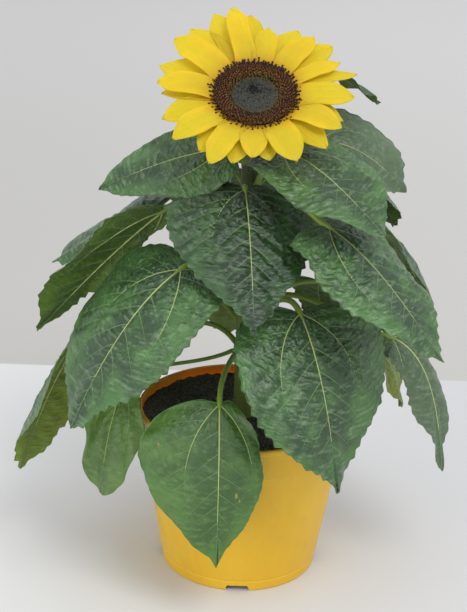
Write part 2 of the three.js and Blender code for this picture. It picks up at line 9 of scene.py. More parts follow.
# %% Load the construction model
import math
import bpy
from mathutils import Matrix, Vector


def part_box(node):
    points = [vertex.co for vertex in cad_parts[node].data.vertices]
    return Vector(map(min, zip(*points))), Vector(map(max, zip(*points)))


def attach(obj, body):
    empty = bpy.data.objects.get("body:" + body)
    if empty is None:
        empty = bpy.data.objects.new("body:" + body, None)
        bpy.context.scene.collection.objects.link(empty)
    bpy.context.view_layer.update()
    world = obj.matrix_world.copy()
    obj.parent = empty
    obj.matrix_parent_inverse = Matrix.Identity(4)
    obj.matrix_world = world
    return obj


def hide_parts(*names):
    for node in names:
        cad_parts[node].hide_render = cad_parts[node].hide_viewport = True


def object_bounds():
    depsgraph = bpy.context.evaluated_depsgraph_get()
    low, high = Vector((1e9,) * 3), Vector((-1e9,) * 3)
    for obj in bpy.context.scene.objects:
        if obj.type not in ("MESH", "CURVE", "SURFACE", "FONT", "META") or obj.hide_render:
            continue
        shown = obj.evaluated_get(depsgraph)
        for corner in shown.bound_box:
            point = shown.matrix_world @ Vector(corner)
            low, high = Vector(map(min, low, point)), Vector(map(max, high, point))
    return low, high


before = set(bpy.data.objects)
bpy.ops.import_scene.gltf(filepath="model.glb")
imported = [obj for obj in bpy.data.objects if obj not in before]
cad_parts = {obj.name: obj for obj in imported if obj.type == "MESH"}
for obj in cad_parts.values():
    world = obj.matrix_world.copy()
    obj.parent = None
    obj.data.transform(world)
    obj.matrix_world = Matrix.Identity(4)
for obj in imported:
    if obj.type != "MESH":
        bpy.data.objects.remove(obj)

from types import SimpleNamespace

import bpy
import numpy as np
from mathutils import Matrix, Vector

MM = 0.001  # the rules below are in millimetres, and Blender's objects are in metres
cad_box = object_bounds()
print("construction model, mm:", [[round(c / MM, 1) for c in corner] for corner in cad_box])

# %% [markdown]
# ## Camera
#
# A camera on a long lens, a little above the flower and turned slightly about its own axis, shows the plant
# nearly as tall as it is, with a glimpse into the pot. A track-to constraint could aim it, but a matrix made
# from three directions also holds the small roll, so that is used.

# %% Camera
CAMERA_AIM = Vector((-0.0088, 0.0, 0.1688))
CAMERA_DISTANCE = 1.0
CAMERA_ELEVATION = math.radians(21.3)
CAMERA_ROLL = math.radians(2.2)


def in_scene(name, data):
    """An object that shows this data, linked to the scene."""
    made = bpy.data.objects.new(name, data)
    bpy.context.scene.collection.objects.link(made)
    return made


camera = in_scene("camera", bpy.data.cameras.new("camera"))
bpy.context.scene.camera = camera
camera.data.sensor_width = 36
camera.data.lens = 97.4
camera.data.clip_end = 30

back = Vector((0, -math.cos(CAMERA_ELEVATION), math.sin(CAMERA_ELEVATION)))
right = Vector((1, 0, 0))
up = back.cross(right)
rolled_right = right * math.cos(CAMERA_ROLL) + up * math.sin(CAMERA_ROLL)
axes = Matrix((rolled_right, back.cross(rolled_right), back)).transposed()
camera.matrix_world = Matrix.Translation(CAMERA_AIM + back * CAMERA_DISTANCE) @ axes.to_4x4()
print("camera at", [round(c, 3) for c in camera.matrix_world.translation])

# %% [markdown]
# ## Meshes from arrays
#
# A leaf alone has thousands of faces, so adding them one at a time would be slow. Arrays of points and
# of corner numbers go into a mesh in one step instead. `Shape` gathers any number of parts, each with its
# own finish, and makes one piece of them.

# %% Shape: gather parts, then make one piece
chance = np.random.default_rng(11)


def unit(vectors):
    length = np.linalg.norm(vectors, axis=-1, keepdims=True)
    return vectors / np.maximum(length, 1e-12)


class Shape:
    """Points in millimetres and the faces between them, gathered from many parts."""

    def __init__(self):
        self.points, self.corners, self.sizes, self.finishes = [], [], [], []
        self.marks = []
        self.count = 0

    def add(self, points, faces, finish=0, marks=None):
        """marks is one row of three numbers per point, for a pattern that follows the surface."""
        faces = np.asarray(faces)
        self.points.append(points)
        self.marks.append(np.zeros((len(points), 3)) if marks is None else marks)
        self.corners.append((faces + self.count).ravel())
        self.sizes.append(np.full(len(faces), faces.shape[1]))
        self.finishes.append(np.full(len(faces), finish))
        self.count += len(points)

    def piece(self, name, slot, replaced, *finishes, sharp_above=None):
        """Makes the mesh, and hangs it on the plant's only body."""
        corners, sizes = np.concatenate(self.corners), np.concatenate(self.sizes)
        mesh = bpy.data.meshes.new(name)
        mesh.vertices.add(self.count)
        mesh.vertices.foreach_set("co", (np.concatenate(self.points) * MM).astype(np.float32).ravel())
        mesh.loops.add(len(corners))
        mesh.loops.foreach_set("vertex_index", corners.astype(np.int32))
        mesh.polygons.add(len(sizes))
        mesh.polygons.foreach_set("loop_start", (np.cumsum(sizes) - sizes).astype(np.int32))
        mesh.polygons.foreach_set("material_index", np.concatenate(self.finishes).astype(np.int32))
        marks = mesh.attributes.new("marks", "FLOAT_VECTOR", "POINT")
        marks.data.foreach_set("vector", np.concatenate(self.marks).astype(np.float32).ravel())
        for finish in finishes:
            mesh.materials.append(finish.material)
        mesh.update(calc_edges=True)
        mesh.validate()
        mesh.shade_smooth()
        if sharp_above:
            mesh.set_sharp_from_angle(angle=math.radians(sharp_above))
        piece = in_scene(name, mesh)
        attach(piece, "root")
        if replaced:
            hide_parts(*replaced)
        return piece


def triangles_of(piece):
    return sum(len(face.vertices) - 2 for face in piece.data.polygons)


def grid_faces(rows, columns, closed=False):
    """Quads over rows of points. closed joins each row's last point to its first."""
    spans = columns if closed else columns - 1
    row, column = np.meshgrid(np.arange(rows - 1), np.arange(spans), indexing="ij")
    a = row * columns + column
    b = row * columns + (column + 1) % columns
    return np.stack([a, b, b + columns, a + columns], -1).reshape(-1, 4)


def turned_over(faces):
    return np.asarray(faces)[:, ::-1]


def fan_faces(count):
    """Triangles from a ring of points to one more point, which comes after them."""
    ring = np.arange(count)
    return np.stack([ring, (ring + 1) % count, np.full(count, count)], -1)


print("faces of a net of 3 by 4 points:", len(grid_faces(3, 4)))

# %% [markdown]
# ## Round limbs
#
# Stalks, veins and fibres are all tubes along a line. A curve object with a bevel would do, but its profile
# is the same all round. `limb` carries a frame along the line without twisting it, and lets each ring be
# wider, flatter or ribbed.

# %% Tubes along a line
ANY_SIDE = (0.31, 0.52, 0.8)  # where the search for a first direction across a line starts


def carried_frames(centres, first_side=ANY_SIDE):
    """The tangent, and two directions across it that turn no more than the line does."""
    tangents = unit(np.gradient(centres, axis=0))
    sides = np.empty_like(tangents)
    side = np.asarray(first_side, float)
    for i, tangent in enumerate(tangents):
        side = side - tangent * (side @ tangent)
        side = side / np.linalg.norm(side)
        sides[i] = side
    return tangents, sides, np.cross(tangents, sides)


def limb(shape, centres, radii, count, finish=0, ribs=0, rib_depth=0.0):
    """A closed tube of count sides, with ribs along it."""
    _, sides, others = carried_frames(centres)
    angle = 2 * math.pi * np.arange(count) / count
    radii = np.asarray(radii, float)[:, None] * (1 + rib_depth * np.cos(ribs * angle))[None, :]
    ring = sides[:, None] * np.cos(angle)[None, :, None] + others[:, None] * np.sin(angle)[None, :, None]
    points = (centres[:, None] + ring * radii[..., None]).reshape(-1, 3)
    shape.add(points, grid_faces(len(centres), count, closed=True), finish)
    fan = fan_faces(count)
    for row, faces in ((0, turned_over(fan)), (len(centres) - 1, fan)):
        cap = np.concatenate([points[row * count:(row + 1) * count], centres[row][None]])
        shape.add(cap, faces, finish)


def scatter(shape, template, faces, places, axes, finish=0):
    """Copies of a small template: axes holds the three directions, scaled, of each copy."""
    copies = places[:, None] + np.einsum("vi,nij->nvj", template, axes)
    step = len(template) * np.arange(len(places))
    all_faces = (np.asarray(faces)[None] + step[:, None, None]).reshape(-1, len(faces[0]))
    shape.add(copies.reshape(-1, 3), all_faces, finish)


def axes_along(directions, sizes):
    """For scatter: the template's third axis lies along each direction, with a chance turn about it."""
    third = unit(directions)
    helper = unit(chance.normal(size=third.shape))
    first = unit(np.cross(helper, third))
    second = np.cross(third, first)
    return np.stack([first, second, third], 1) * np.asarray(sizes)[:, None, None]


# %% [markdown]
# ## Soft noise in numbers
#
# Blender's noise textures colour a surface. The relief of a leaf or of soil has to be in its points, so the
# same two kinds of noise are written here: smooth swells, and cells that puff up between narrow grooves.

# %% Smooth noise and cells
def spots(ix, iy, seed):
    """A repeatable number from 0 to 1 at each whole-numbered place."""
    number = np.sin(ix * 127.1 + iy * 311.7 + seed * 74.7) * 43758.5453
    return number - np.floor(number)


def swell(x, y, seed=0.0):
    """Smooth noise from -1 to 1, with features about one unit across."""
    ix, iy = np.floor(x), np.floor(y)
    fx, fy = x - ix, y - iy
    fx, fy = fx * fx * (3 - 2 * fx), fy * fy * (3 - 2 * fy)
    low = spots(ix, iy, seed) * (1 - fx) + spots(ix + 1, iy, seed) * fx
    high = spots(ix, iy + 1, seed) * (1 - fx) + spots(ix + 1, iy + 1, seed) * fx
    return 2 * (low * (1 - fy) + high * fy) - 1


def quilt(x, y, seed=0.0):
    """Cells about one unit across: 0 in the grooves between them, and up to about 1 on their backs."""
    ix, iy = np.floor(x), np.floor(y)
    nearest = np.full(np.shape(x), 9.0)
    second = nearest.copy()
    for dx in (-1, 0, 1):
        for dy in (-1, 0, 1):
            px = ix + dx + spots(ix + dx, iy + dy, seed + 3)
            py = iy + dy + spots(ix + dx, iy + dy, seed + 5)
            distance = np.hypot(px - x, py - y)
            second = np.minimum(second, np.maximum(nearest, distance))
            nearest = np.minimum(nearest, distance)
    return np.clip(second - nearest, 0, 1)


print("noise at one place:", round(float(swell(0.4, 0.7)), 3), round(float(quilt(0.4, 0.7)), 3))

# %% [markdown]
# ## Shader maths
#
# A finish is a Principled shader and a few nodes that vary it. Wiring Math nodes by hand hides what they
# work out, so `Value` wraps a socket and lets Python's operators add them: `0.5 + 0.2 * noise` makes the two
# nodes. Every other node comes from `Finish.node`. Numbers that don't vary stay on the shader's own sockets.

# %% Value and Finish
class Value:
    """An output socket that can stand in a sum."""

    def __init__(self, finish, socket):
        self.finish, self.socket = finish, socket

    def maths(self, operation, first, second):
        return self.finish.node("ShaderNodeMath", {"operation": operation}, {0: first, 1: second})

    def __add__(self, other):
        return self.maths("ADD", self, other)

    def __sub__(self, other):
        return self.maths("SUBTRACT", self, other)

    def __rsub__(self, other):
        return self.maths("SUBTRACT", other, self)

    def __mul__(self, other):
        return self.maths("MULTIPLY", self, other)

    __radd__, __rmul__ = __add__, __mul__


class Finish:
    """A material, its Principled shader and the nodes behind it."""

    def __init__(self, name, **constants):
        self.material = bpy.data.materials.new(name)
        self.material.use_nodes = True
        self.nodes, self.links = self.material.node_tree.nodes, self.material.node_tree.links
        self.shader = self.nodes["Principled BSDF"]
        for key, value in constants.items():
            self.shader.inputs[key.replace("_", " ")].default_value = value

    def node(self, kind, settings, inputs, output=0):
        """Adds a node of this kind: its settings first, then a value or a link for each socket."""
        node = self.nodes.new(kind)
        for key, value in settings.items():
            setattr(node, key, value)
        for key, value in inputs.items():
            self.feed(node.inputs[key], value)
        return Value(self, node.outputs[output])

    def feed(self, socket, value):
        if isinstance(value, Value):
            self.links.new(value.socket, socket)
        elif isinstance(value, tuple) and socket.type == "RGBA":
            socket.default_value = (*value, 1)
        else:
            socket.default_value = value

    def set(self, **values):
        for key, value in values.items():
            self.feed(self.shader.inputs[key.replace("_", " ")], value)

    def here(self):
        """The place on the plant, in metres."""
        return self.node("ShaderNodeTexCoord", {}, {}, "Object")

    def marks(self):
        """The three numbers that each point of the mesh carries, as a vector."""
        return self.node("ShaderNodeAttribute", {"attribute_name": "marks"}, {}, "Vector")

    def part(self, vector, index):
        return self.node("ShaderNodeSeparateXYZ", {}, {0: vector}, index)

    def scaled(self, vector, factors):
        return self.node("ShaderNodeVectorMath", {"operation": "MULTIPLY"}, {0: vector, 1: factors})

    def noise(self, place, size_mm, detail=2.0):
        """Noise from 0 to 1 with features of this size, for a place in metres."""
        inputs = {"Vector": place, "Scale": 1 / (size_mm * MM), "Detail": detail}
        return self.node("ShaderNodeTexNoise", {}, inputs)

    def cells(self, place, size_mm):
        settings = {"feature": "SMOOTH_F1"}
        return self.node("ShaderNodeTexVoronoi", settings, {"Vector": place, "Scale": 1 / (size_mm * MM)})

    def mix(self, factor, first, second):
        settings = {"data_type": "RGBA"}
        return self.node("ShaderNodeMix", settings, {0: factor, 6: first, 7: second}, 2)

    def between(self, value, low, high):
        """0 below low, 1 above high, and smooth between them."""
        settings = {"interpolation_type": "SMOOTHSTEP"}
        return self.node("ShaderNodeMapRange", settings, {0: value, 1: low, 2: high})

    def bump(self, height, depth_mm, strength=1.0):
        inputs = {"Strength": strength, "Distance": depth_mm * MM, "Height": height}
        return self.node("ShaderNodeBump", {}, inputs)


def colour(red, green, blue):
    """A screen colour of 0 to 255 a channel, as the linear numbers that the shader wants."""
    shares = (red / 255, green / 255, blue / 255)
    return tuple(c / 12.92 if c <= 0.04045 else ((c + 0.055) / 1.055) ** 2.4 for c in shares)


print("mid grey as linear numbers:", [round(c, 3) for c in colour(128, 128, 128)])


# %% [markdown]
# ## Pot
#
# A nursery pot is blown or injected in one go: a thin tapering wall, a stiffening band under the rim, a
# rolled lip, and drain notches round its foot. It is a profile turned about the axis. The profile could be
# modelled by hand, but rounding each corner by a formula keeps every edge's radius true. The notches are
# cut by a Boolean, because they cross the wall's turn into the base. Daylight comes through the thin wall
# and makes the inside glow: the inside scatters more light under its surface, and its more orange colours
# are a painted glow of that light.

# %% Pot: finish
def pot_plastic(name, main, deep, glow=0.06):
    """Satin coloured plastic: faint flow marks, tiny pits, and dust that dulls it in patches.

    glow is the share of light that scatters under its surface.
    """
    finish = Finish(name, Specular_IOR_Level=0.45, Subsurface_Weight=glow, Subsurface_Scale=0.004)
    finish.shader.inputs["Subsurface Radius"].default_value = (1.0, 0.5, 0.1)
    place = finish.here()
    drift = finish.noise(place, 38)
    flow = finish.noise(finish.scaled(place, (1.0, 1.0, 0.12)), 3.0)
    grain = finish.noise(place, 0.55, 3.0)
    dust = finish.between(finish.noise(place, 11, 5.0), 0.52, 0.74)
    base = finish.mix(finish.between(drift * 0.7 + flow * 0.3, 0.3, 0.72), main, deep)
    finish.set(Base_Color=finish.mix(dust * 0.16, base, colour(196, 168, 96)))
    finish.set(Roughness=0.36 + 0.12 * grain + 0.16 * dust)
    finish.set(Normal=finish.bump(grain * 0.55 + flow * 0.45, 0.05, 0.7))
    return finish


POT_OUTSIDE = pot_plastic("pot_plastic", colour(235, 188, 42), colour(228, 178, 34))
# The inside's more orange colours are a painted glow of daylight through the wall, on top of its real
# scattering.
POT_INSIDE_PAINTED_GLOW = pot_plastic("pot_plastic_inside_painted_glow", colour(255, 178, 62), colour(250, 164, 50), 0.8)
print("pot finishes:", POT_OUTSIDE.material.name, POT_INSIDE_PAINTED_GLOW.material.name)

# %% Pot: profile and mesh
pot_low, pot_high = (np.array(corner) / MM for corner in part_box("pot"))
POT = SimpleNamespace(
    height=pot_high[2], rim=(pot_high[0] - pot_low[0]) / 2, base=48.0, shoulder=62.0, shoulder_height=82.5,
    step=0.8, lip=2.4, overhang=1.1, wall=1.6, floor=2.0, notches=4, notch_width=14.0, notch_height=4.0,
    recess=0.9,  # how far the underside stands up from the foot ring
    eye=0.6,  # radius of the small disc that closes each surface on the axis
)
SOIL_LEVEL = 98.0


def wall_inside(z):
    return POT.base - POT.wall + (POT.shoulder - POT.base) / POT.shoulder_height * z


def rounded(corners, arc_steps=5):
    """A profile whose corners (radius, height, rounding) become arcs of the given rounding."""
    line = []
    for i, (x, y, rounding) in enumerate(corners):
        corner = np.array([x, y])
        if rounding == 0 or i in (0, len(corners) - 1):
            line.append(corner)
            continue
        before = unit(np.array(corners[i - 1][:2]) - corner)
        after = unit(np.array(corners[i + 1][:2]) - corner)
        for t in np.linspace(0, 1, arc_steps):
            line.append(corner + rounding * (before * (1 - t) ** 2 + after * t ** 2))
    return np.array(line)


def turned(profile, segments):
    """Points of a profile turned about Z. Each row is one ring."""
    angle = 2 * math.pi * np.arange(segments) / segments
    ring = np.stack([np.cos(angle), np.sin(angle), np.zeros(segments)], -1)
    return profile[:, :1, None] * ring[None] + profile[:, 1:, None] * np.array([0, 0, 1.0])


def wall_at(z):
    return POT.base + (POT.shoulder - POT.base) / POT.shoulder_height * z


band_top = POT.height - POT.lip
pot_outside = rounded([
    (POT.eye, POT.recess, 0), (38, POT.recess, 1), (39, 0, 0.8), (POT.base, 0, 1.0),
    (wall_at(6.6), 6.6, 0.3), (wall_at(6.9) - 0.35, 6.9, 0.2), (wall_at(7.5) - 0.35, 7.5, 0.2),
    (wall_at(7.8), 7.8, 0.3),
    (wall_at(30), 30, 0), (wall_at(55), 55, 0), (POT.shoulder, POT.shoulder_height, 0.5),
    (POT.shoulder + POT.step, POT.shoulder_height + 0.7, 0.5), (POT.rim - POT.overhang, band_top - 1, 1.0),
    (POT.rim, band_top - 0.2, 0.7), (POT.rim, POT.height, 1.1), (POT.rim - 1.2, POT.height, 0),
])
pot_inside = rounded([
    (POT.rim - 1.2, POT.height, 0), (POT.rim - 2.4, POT.height, 1.1),
    (wall_inside(SOIL_LEVEL), SOIL_LEVEL, 0),
    (wall_inside(50), 50, 0), (wall_inside(POT.floor), POT.floor, 1.0), (POT.eye, POT.floor, 0),
])


def make_pot():
    shape = Shape()
    segments = 144
    for profile, finish in ((pot_outside, 0), (pot_inside, 1)):
        rings = turned(profile, segments)
        shape.add(rings.reshape(-1, 3), grid_faces(len(rings), segments, closed=True), finish)
    fan = fan_faces(segments)
    for height, faces, finish in ((POT.recess, turned_over(fan), 0), (POT.floor, fan, 1)):
        rim = turned(np.array([[POT.eye, height]]), segments)[0]
        shape.add(np.vstack([rim, [0, 0, height]]), faces, finish)
    return shape.piece("pot_shell", "pot", ["pot"], POT_OUTSIDE, POT_INSIDE_PAINTED_GLOW, sharp_above=50)


def notch_cutter(angle):
    """A tunnel with a round top, pushed through the wall at its foot."""
    half, height, rounding = POT.notch_width / 2, POT.notch_height, 2.2
    arch = [(-half, -2.0), (half, -2.0)]
    for t in np.linspace(0, math.pi, 9):
        corner = math.copysign(half - rounding, math.cos(t)) * (abs(math.cos(t)) > 0.01)
        arch.append((corner + rounding * math.cos(t), height - rounding + rounding * math.sin(t)))
    across = np.array(arch)
    near, far = np.full(len(arch), POT.base - 8.0), np.full(len(arch), POT.base + 6.0)
    points = np.vstack([np.column_stack([near, across]), np.column_stack([far, across])])
    turn = np.array(Matrix.Rotation(angle, 3, "Z"))
    mesh = bpy.data.meshes.new("notch_cutter")
    count = len(arch)
    sides = [(i, (i + 1) % count, (i + 1) % count + count, i + count) for i in range(count)]
    ends = [tuple(range(count))[::-1], tuple(range(count, 2 * count))]
    mesh.from_pydata((points @ turn.T * MM).tolist(), [], sides + ends)
    mesh.update()
    return in_scene("notch_cutter", mesh)


def cut(piece, cutter):
    """Takes the cutter out of the piece, and keeps the result as the piece's own mesh."""
    modifier = piece.modifiers.new("cut", "BOOLEAN")
    modifier.operation, modifier.solver, modifier.object = "DIFFERENCE", "EXACT", cutter
    modifier.material_mode = "TRANSFER"
    result = bpy.data.meshes.new_from_object(piece.evaluated_get(bpy.context.evaluated_depsgraph_get()))
    piece.modifiers.clear()
    piece.data = result
    bpy.data.objects.remove(cutter)


pot = make_pot()
weld = pot.modifiers.new("weld", "WELD")
weld.merge_threshold = 1e-6
for k in range(POT.notches):
    cut(pot, notch_cutter(math.radians(-90 + 360 * k / POT.notches)))
print("pot:", triangles_of(pot), "triangles,", round(2 * POT.rim, 1), "mm across the lip")

# %% [markdown]
# ## Soil
#
# Potting soil is peat: nearly black, crumbly, with pale threads of root and bark. One uneven surface alone
# looks like tarmac, and a particle system can't be carried into a saved model. So the surface is a fine
# disc with noise in it, and crumbs and threads are real small meshes dealt out over it by seeded chance.

# %% Soil: finishes
def peat(name, dark, light, size_mm):
    finish = Finish(name, Specular_IOR_Level=0.25)
    place = finish.here()
    clumps = finish.noise(place, size_mm, 6.0)
    finish.set(Base_Color=finish.mix(finish.between(clumps, 0.42, 0.7), dark, light))
    finish.set(Roughness=0.8 + 0.15 * clumps)
    finish.set(Normal=finish.bump(clumps, 0.6))
    return finish


SOIL_FINISHES = [
    peat("peat", colour(80, 78, 80), colour(120, 116, 116), 1.6),
    peat("peat_brown", colour(98, 80, 66), colour(134, 110, 88), 0.8),
    peat("peat_pale", colour(120, 100, 74), colour(168, 146, 112), 0.8),
]


# %% [markdown]
# The same height function lifts the surface and whatever lies on it, so crumbs and threads rest on the lumps.

# %% Soil: surface, crumbs and threads
def soil_height(x, y):
    """The uneven top: lumps some 30 mm apart, then pebbles and grains, calmer round the stem's foot."""
    radius = np.hypot(x, y)
    lump = 1.3 * np.sin(0.19 * x + 0.7) * np.cos(0.23 * y + 0.05 * x - 0.4)
    edge = np.clip((radius - 12) / 8, 0, 1) * np.clip((wall_inside(SOIL_LEVEL) - radius) / 6, 0, 1)
    pebbles = 1.5 * quilt(x / 5.5, y / 5.5, 2) + 0.9 * swell(x / 3, y / 3, 4)
    pebbles = pebbles + 0.5 * swell(x / 1.3, y / 1.3, 6)
    return SOIL_LEVEL + lump * edge + (pebbles - 0.8) * np.clip(radius / 9, 0.3, 1)


def make_soil():
    shape = Shape()
    segments, rings = 200, 56
    reach = wall_inside(SOIL_LEVEL) - 0.1
    radii = np.linspace(0.4, reach, rings)
    disc = turned(np.column_stack([radii, np.zeros(rings)]), segments)
    disc[..., 2] = soil_height(disc[..., 0], disc[..., 1])
    bottom = turned(np.array([[wall_inside(2.3) - 0.2, 2.3]]), segments)
    points = np.concatenate([disc, bottom]).reshape(-1, 3)
    shape.add(points, turned_over(grid_faces(rings + 1, segments, closed=True)))
    fan = fan_faces(segments)
    for ring, faces in ((disc[0], fan), (bottom[0], turned_over(fan))):
        shape.add(np.vstack([ring, [0, 0, ring[:, 2].mean()]]), faces)
    return shape.piece("soil_bed", "soil", ["soil"], SOIL_FINISHES[0])


def spread_on_soil(count, reach):
    """Chance places over the soil, evenly dense, clear of the stem."""
    radius = np.sqrt(chance.uniform(8.5 ** 2, reach ** 2, count))
    angle = chance.uniform(0, 2 * math.pi, count)
    x, y = radius * np.cos(angle), radius * np.sin(angle)
    return np.column_stack([x, y, soil_height(x, y)])


def make_crumbs():
    """Broken lumps: an icosahedron with its corners knocked about, in many sizes."""
    golden = (1 + math.sqrt(5)) / 2
    corners = [(0, a, b * golden) for a in (-1, 1) for b in (-1, 1)]
    other_two = [(z, x, y) for x, y, z in corners] + [(y, z, x) for x, y, z in corners]
    corners = np.array(corners + other_two, float)
    apart = np.linalg.norm(corners[:, None] - corners[None], axis=-1)
    faces = []
    for i in range(12):
        for j in range(i + 1, 12):
            for k in range(j + 1, 12):
                if max(apart[i, j], apart[j, k], apart[i, k]) < 2.01:
                    outward = np.dot(np.cross(corners[j] - corners[i], corners[k] - corners[i]), corners[i])
                    faces.append((i, j, k) if outward > 0 else (i, k, j))
    shape = Shape()
    for finish, count, largest in ((0, 1500, 1.7), (1, 620, 1.3), (2, 110, 0.9)):
        for _ in range(5):
            template = unit(corners) * chance.uniform(0.62, 1.25, (12, 1)) * (1, 0.8, 0.6)
            places = spread_on_soil(count // 5, wall_inside(SOIL_LEVEL) - 2.2)
            sizes = 0.35 + largest * chance.random(len(places)) ** 3
            axes = axes_along(chance.normal(size=places.shape), sizes)
            scatter(shape, template, faces, places, axes, finish)
    return shape.piece("soil_crumbs", "soil", [], *SOIL_FINISHES)


def make_threads():
    """Pale roots and slivers of bark lying on the soil."""
    shape = Shape()
    for x, y, z in spread_on_soil(150, wall_inside(SOIL_LEVEL) - 8):
        turn, length = chance.uniform(0, 2 * math.pi), chance.uniform(3, 11)
        s = np.linspace(-0.5, 0.5, 7)
        heading = turn + chance.normal(0, 1.2) * s
        line = np.column_stack([x + length * s * np.cos(heading), y + length * s * np.sin(heading), s * 0])
        line[:, 2] = soil_height(line[:, 0], line[:, 1]) + 0.35 + chance.uniform(0, 0.8) * (1 - 4 * s ** 2)
        inside = np.hypot(line[:, 0], line[:, 1]) < wall_inside(SOIL_LEVEL) - 1.5
        if inside.all():
            limb(shape, line, chance.uniform(0.12, 0.3) * (1.2 - 1.6 * np.abs(s)), 4, 1)
    return shape.piece("soil_threads", "soil", [], SOIL_FINISHES[1], SOIL_FINISHES[2])


soil_pieces = [make_soil(), make_crumbs(), make_threads()]
print("soil:", [triangles_of(piece) for piece in soil_pieces], "triangles")

# %% [markdown]
# ## The flower's place and the stem's line
#
# The stem runs up nearly straight and bends forward only at its neck, so that the flower looks up and out.
# Both lines are formulas of height, the same ones as in the construction model, so leaves and flower meet
# the stem wherever it goes.

# %% Where the flower and the stem are
HEAD = SimpleNamespace(
    centre=np.array([-1.3, -21.3, 304.0]), elevation=math.radians(56), depth=16.0, rim=26.8, seat=24.8,
    disc=24.2, centre_radius=13.0,
)
face_normal = np.array([0, -math.cos(HEAD.elevation), math.sin(HEAD.elevation)])
face_up = np.array([0, math.sin(HEAD.elevation), math.cos(HEAD.elevation)])
GAP = 0.3  # the clearance meant between the stem and its neighbours in the construction model
STEM_LEAN = -3.0  # the stem leans a little sideways, and the head sits just beside its end
neck = HEAD.centre - face_normal * (HEAD.depth + GAP)
neck[0] = STEM_LEAN


def on_head(points):
    """From the flower's own frame, with Z out of its face, to the plant's."""
    return HEAD.centre + points @ np.array([[1, 0, 0], face_up, face_normal])


def stem_axis(z):
    t = np.maximum(0, (np.asarray(z, float) - SOIL_LEVEL) / (neck[2] - SOIL_LEVEL))
    return np.stack([neck[0] * t, neck[1] * t ** 8, np.asarray(z, float)], -1)


def stem_radius(z):
    t = (z - SOIL_LEVEL) / (neck[2] - SOIL_LEVEL)
    return 6.0 - 1.8 * t + 1.6 * np.exp(-(z - SOIL_LEVEL - GAP) / 7)


print("neck at", neck.round(1), "mm, stem", round(2 * stem_radius(SOIL_LEVEL + 30), 1), "mm thick low down")

# %% [markdown]
# ## Leaf rule
#
# Every leaf is a stalk and a heart-shaped blade. The midrib bends over under its own weight, the two halves
# fold and cup about it, and the margin waves. The formulas are those of the construction model, and so are
# nearly all the values. Four leaves are finished here: `low_front_right` has another bias, `right_low` a
# finer tip, `foot_left` a blunter tip and a lower stalk, and `foot_front` one slim shoulder.

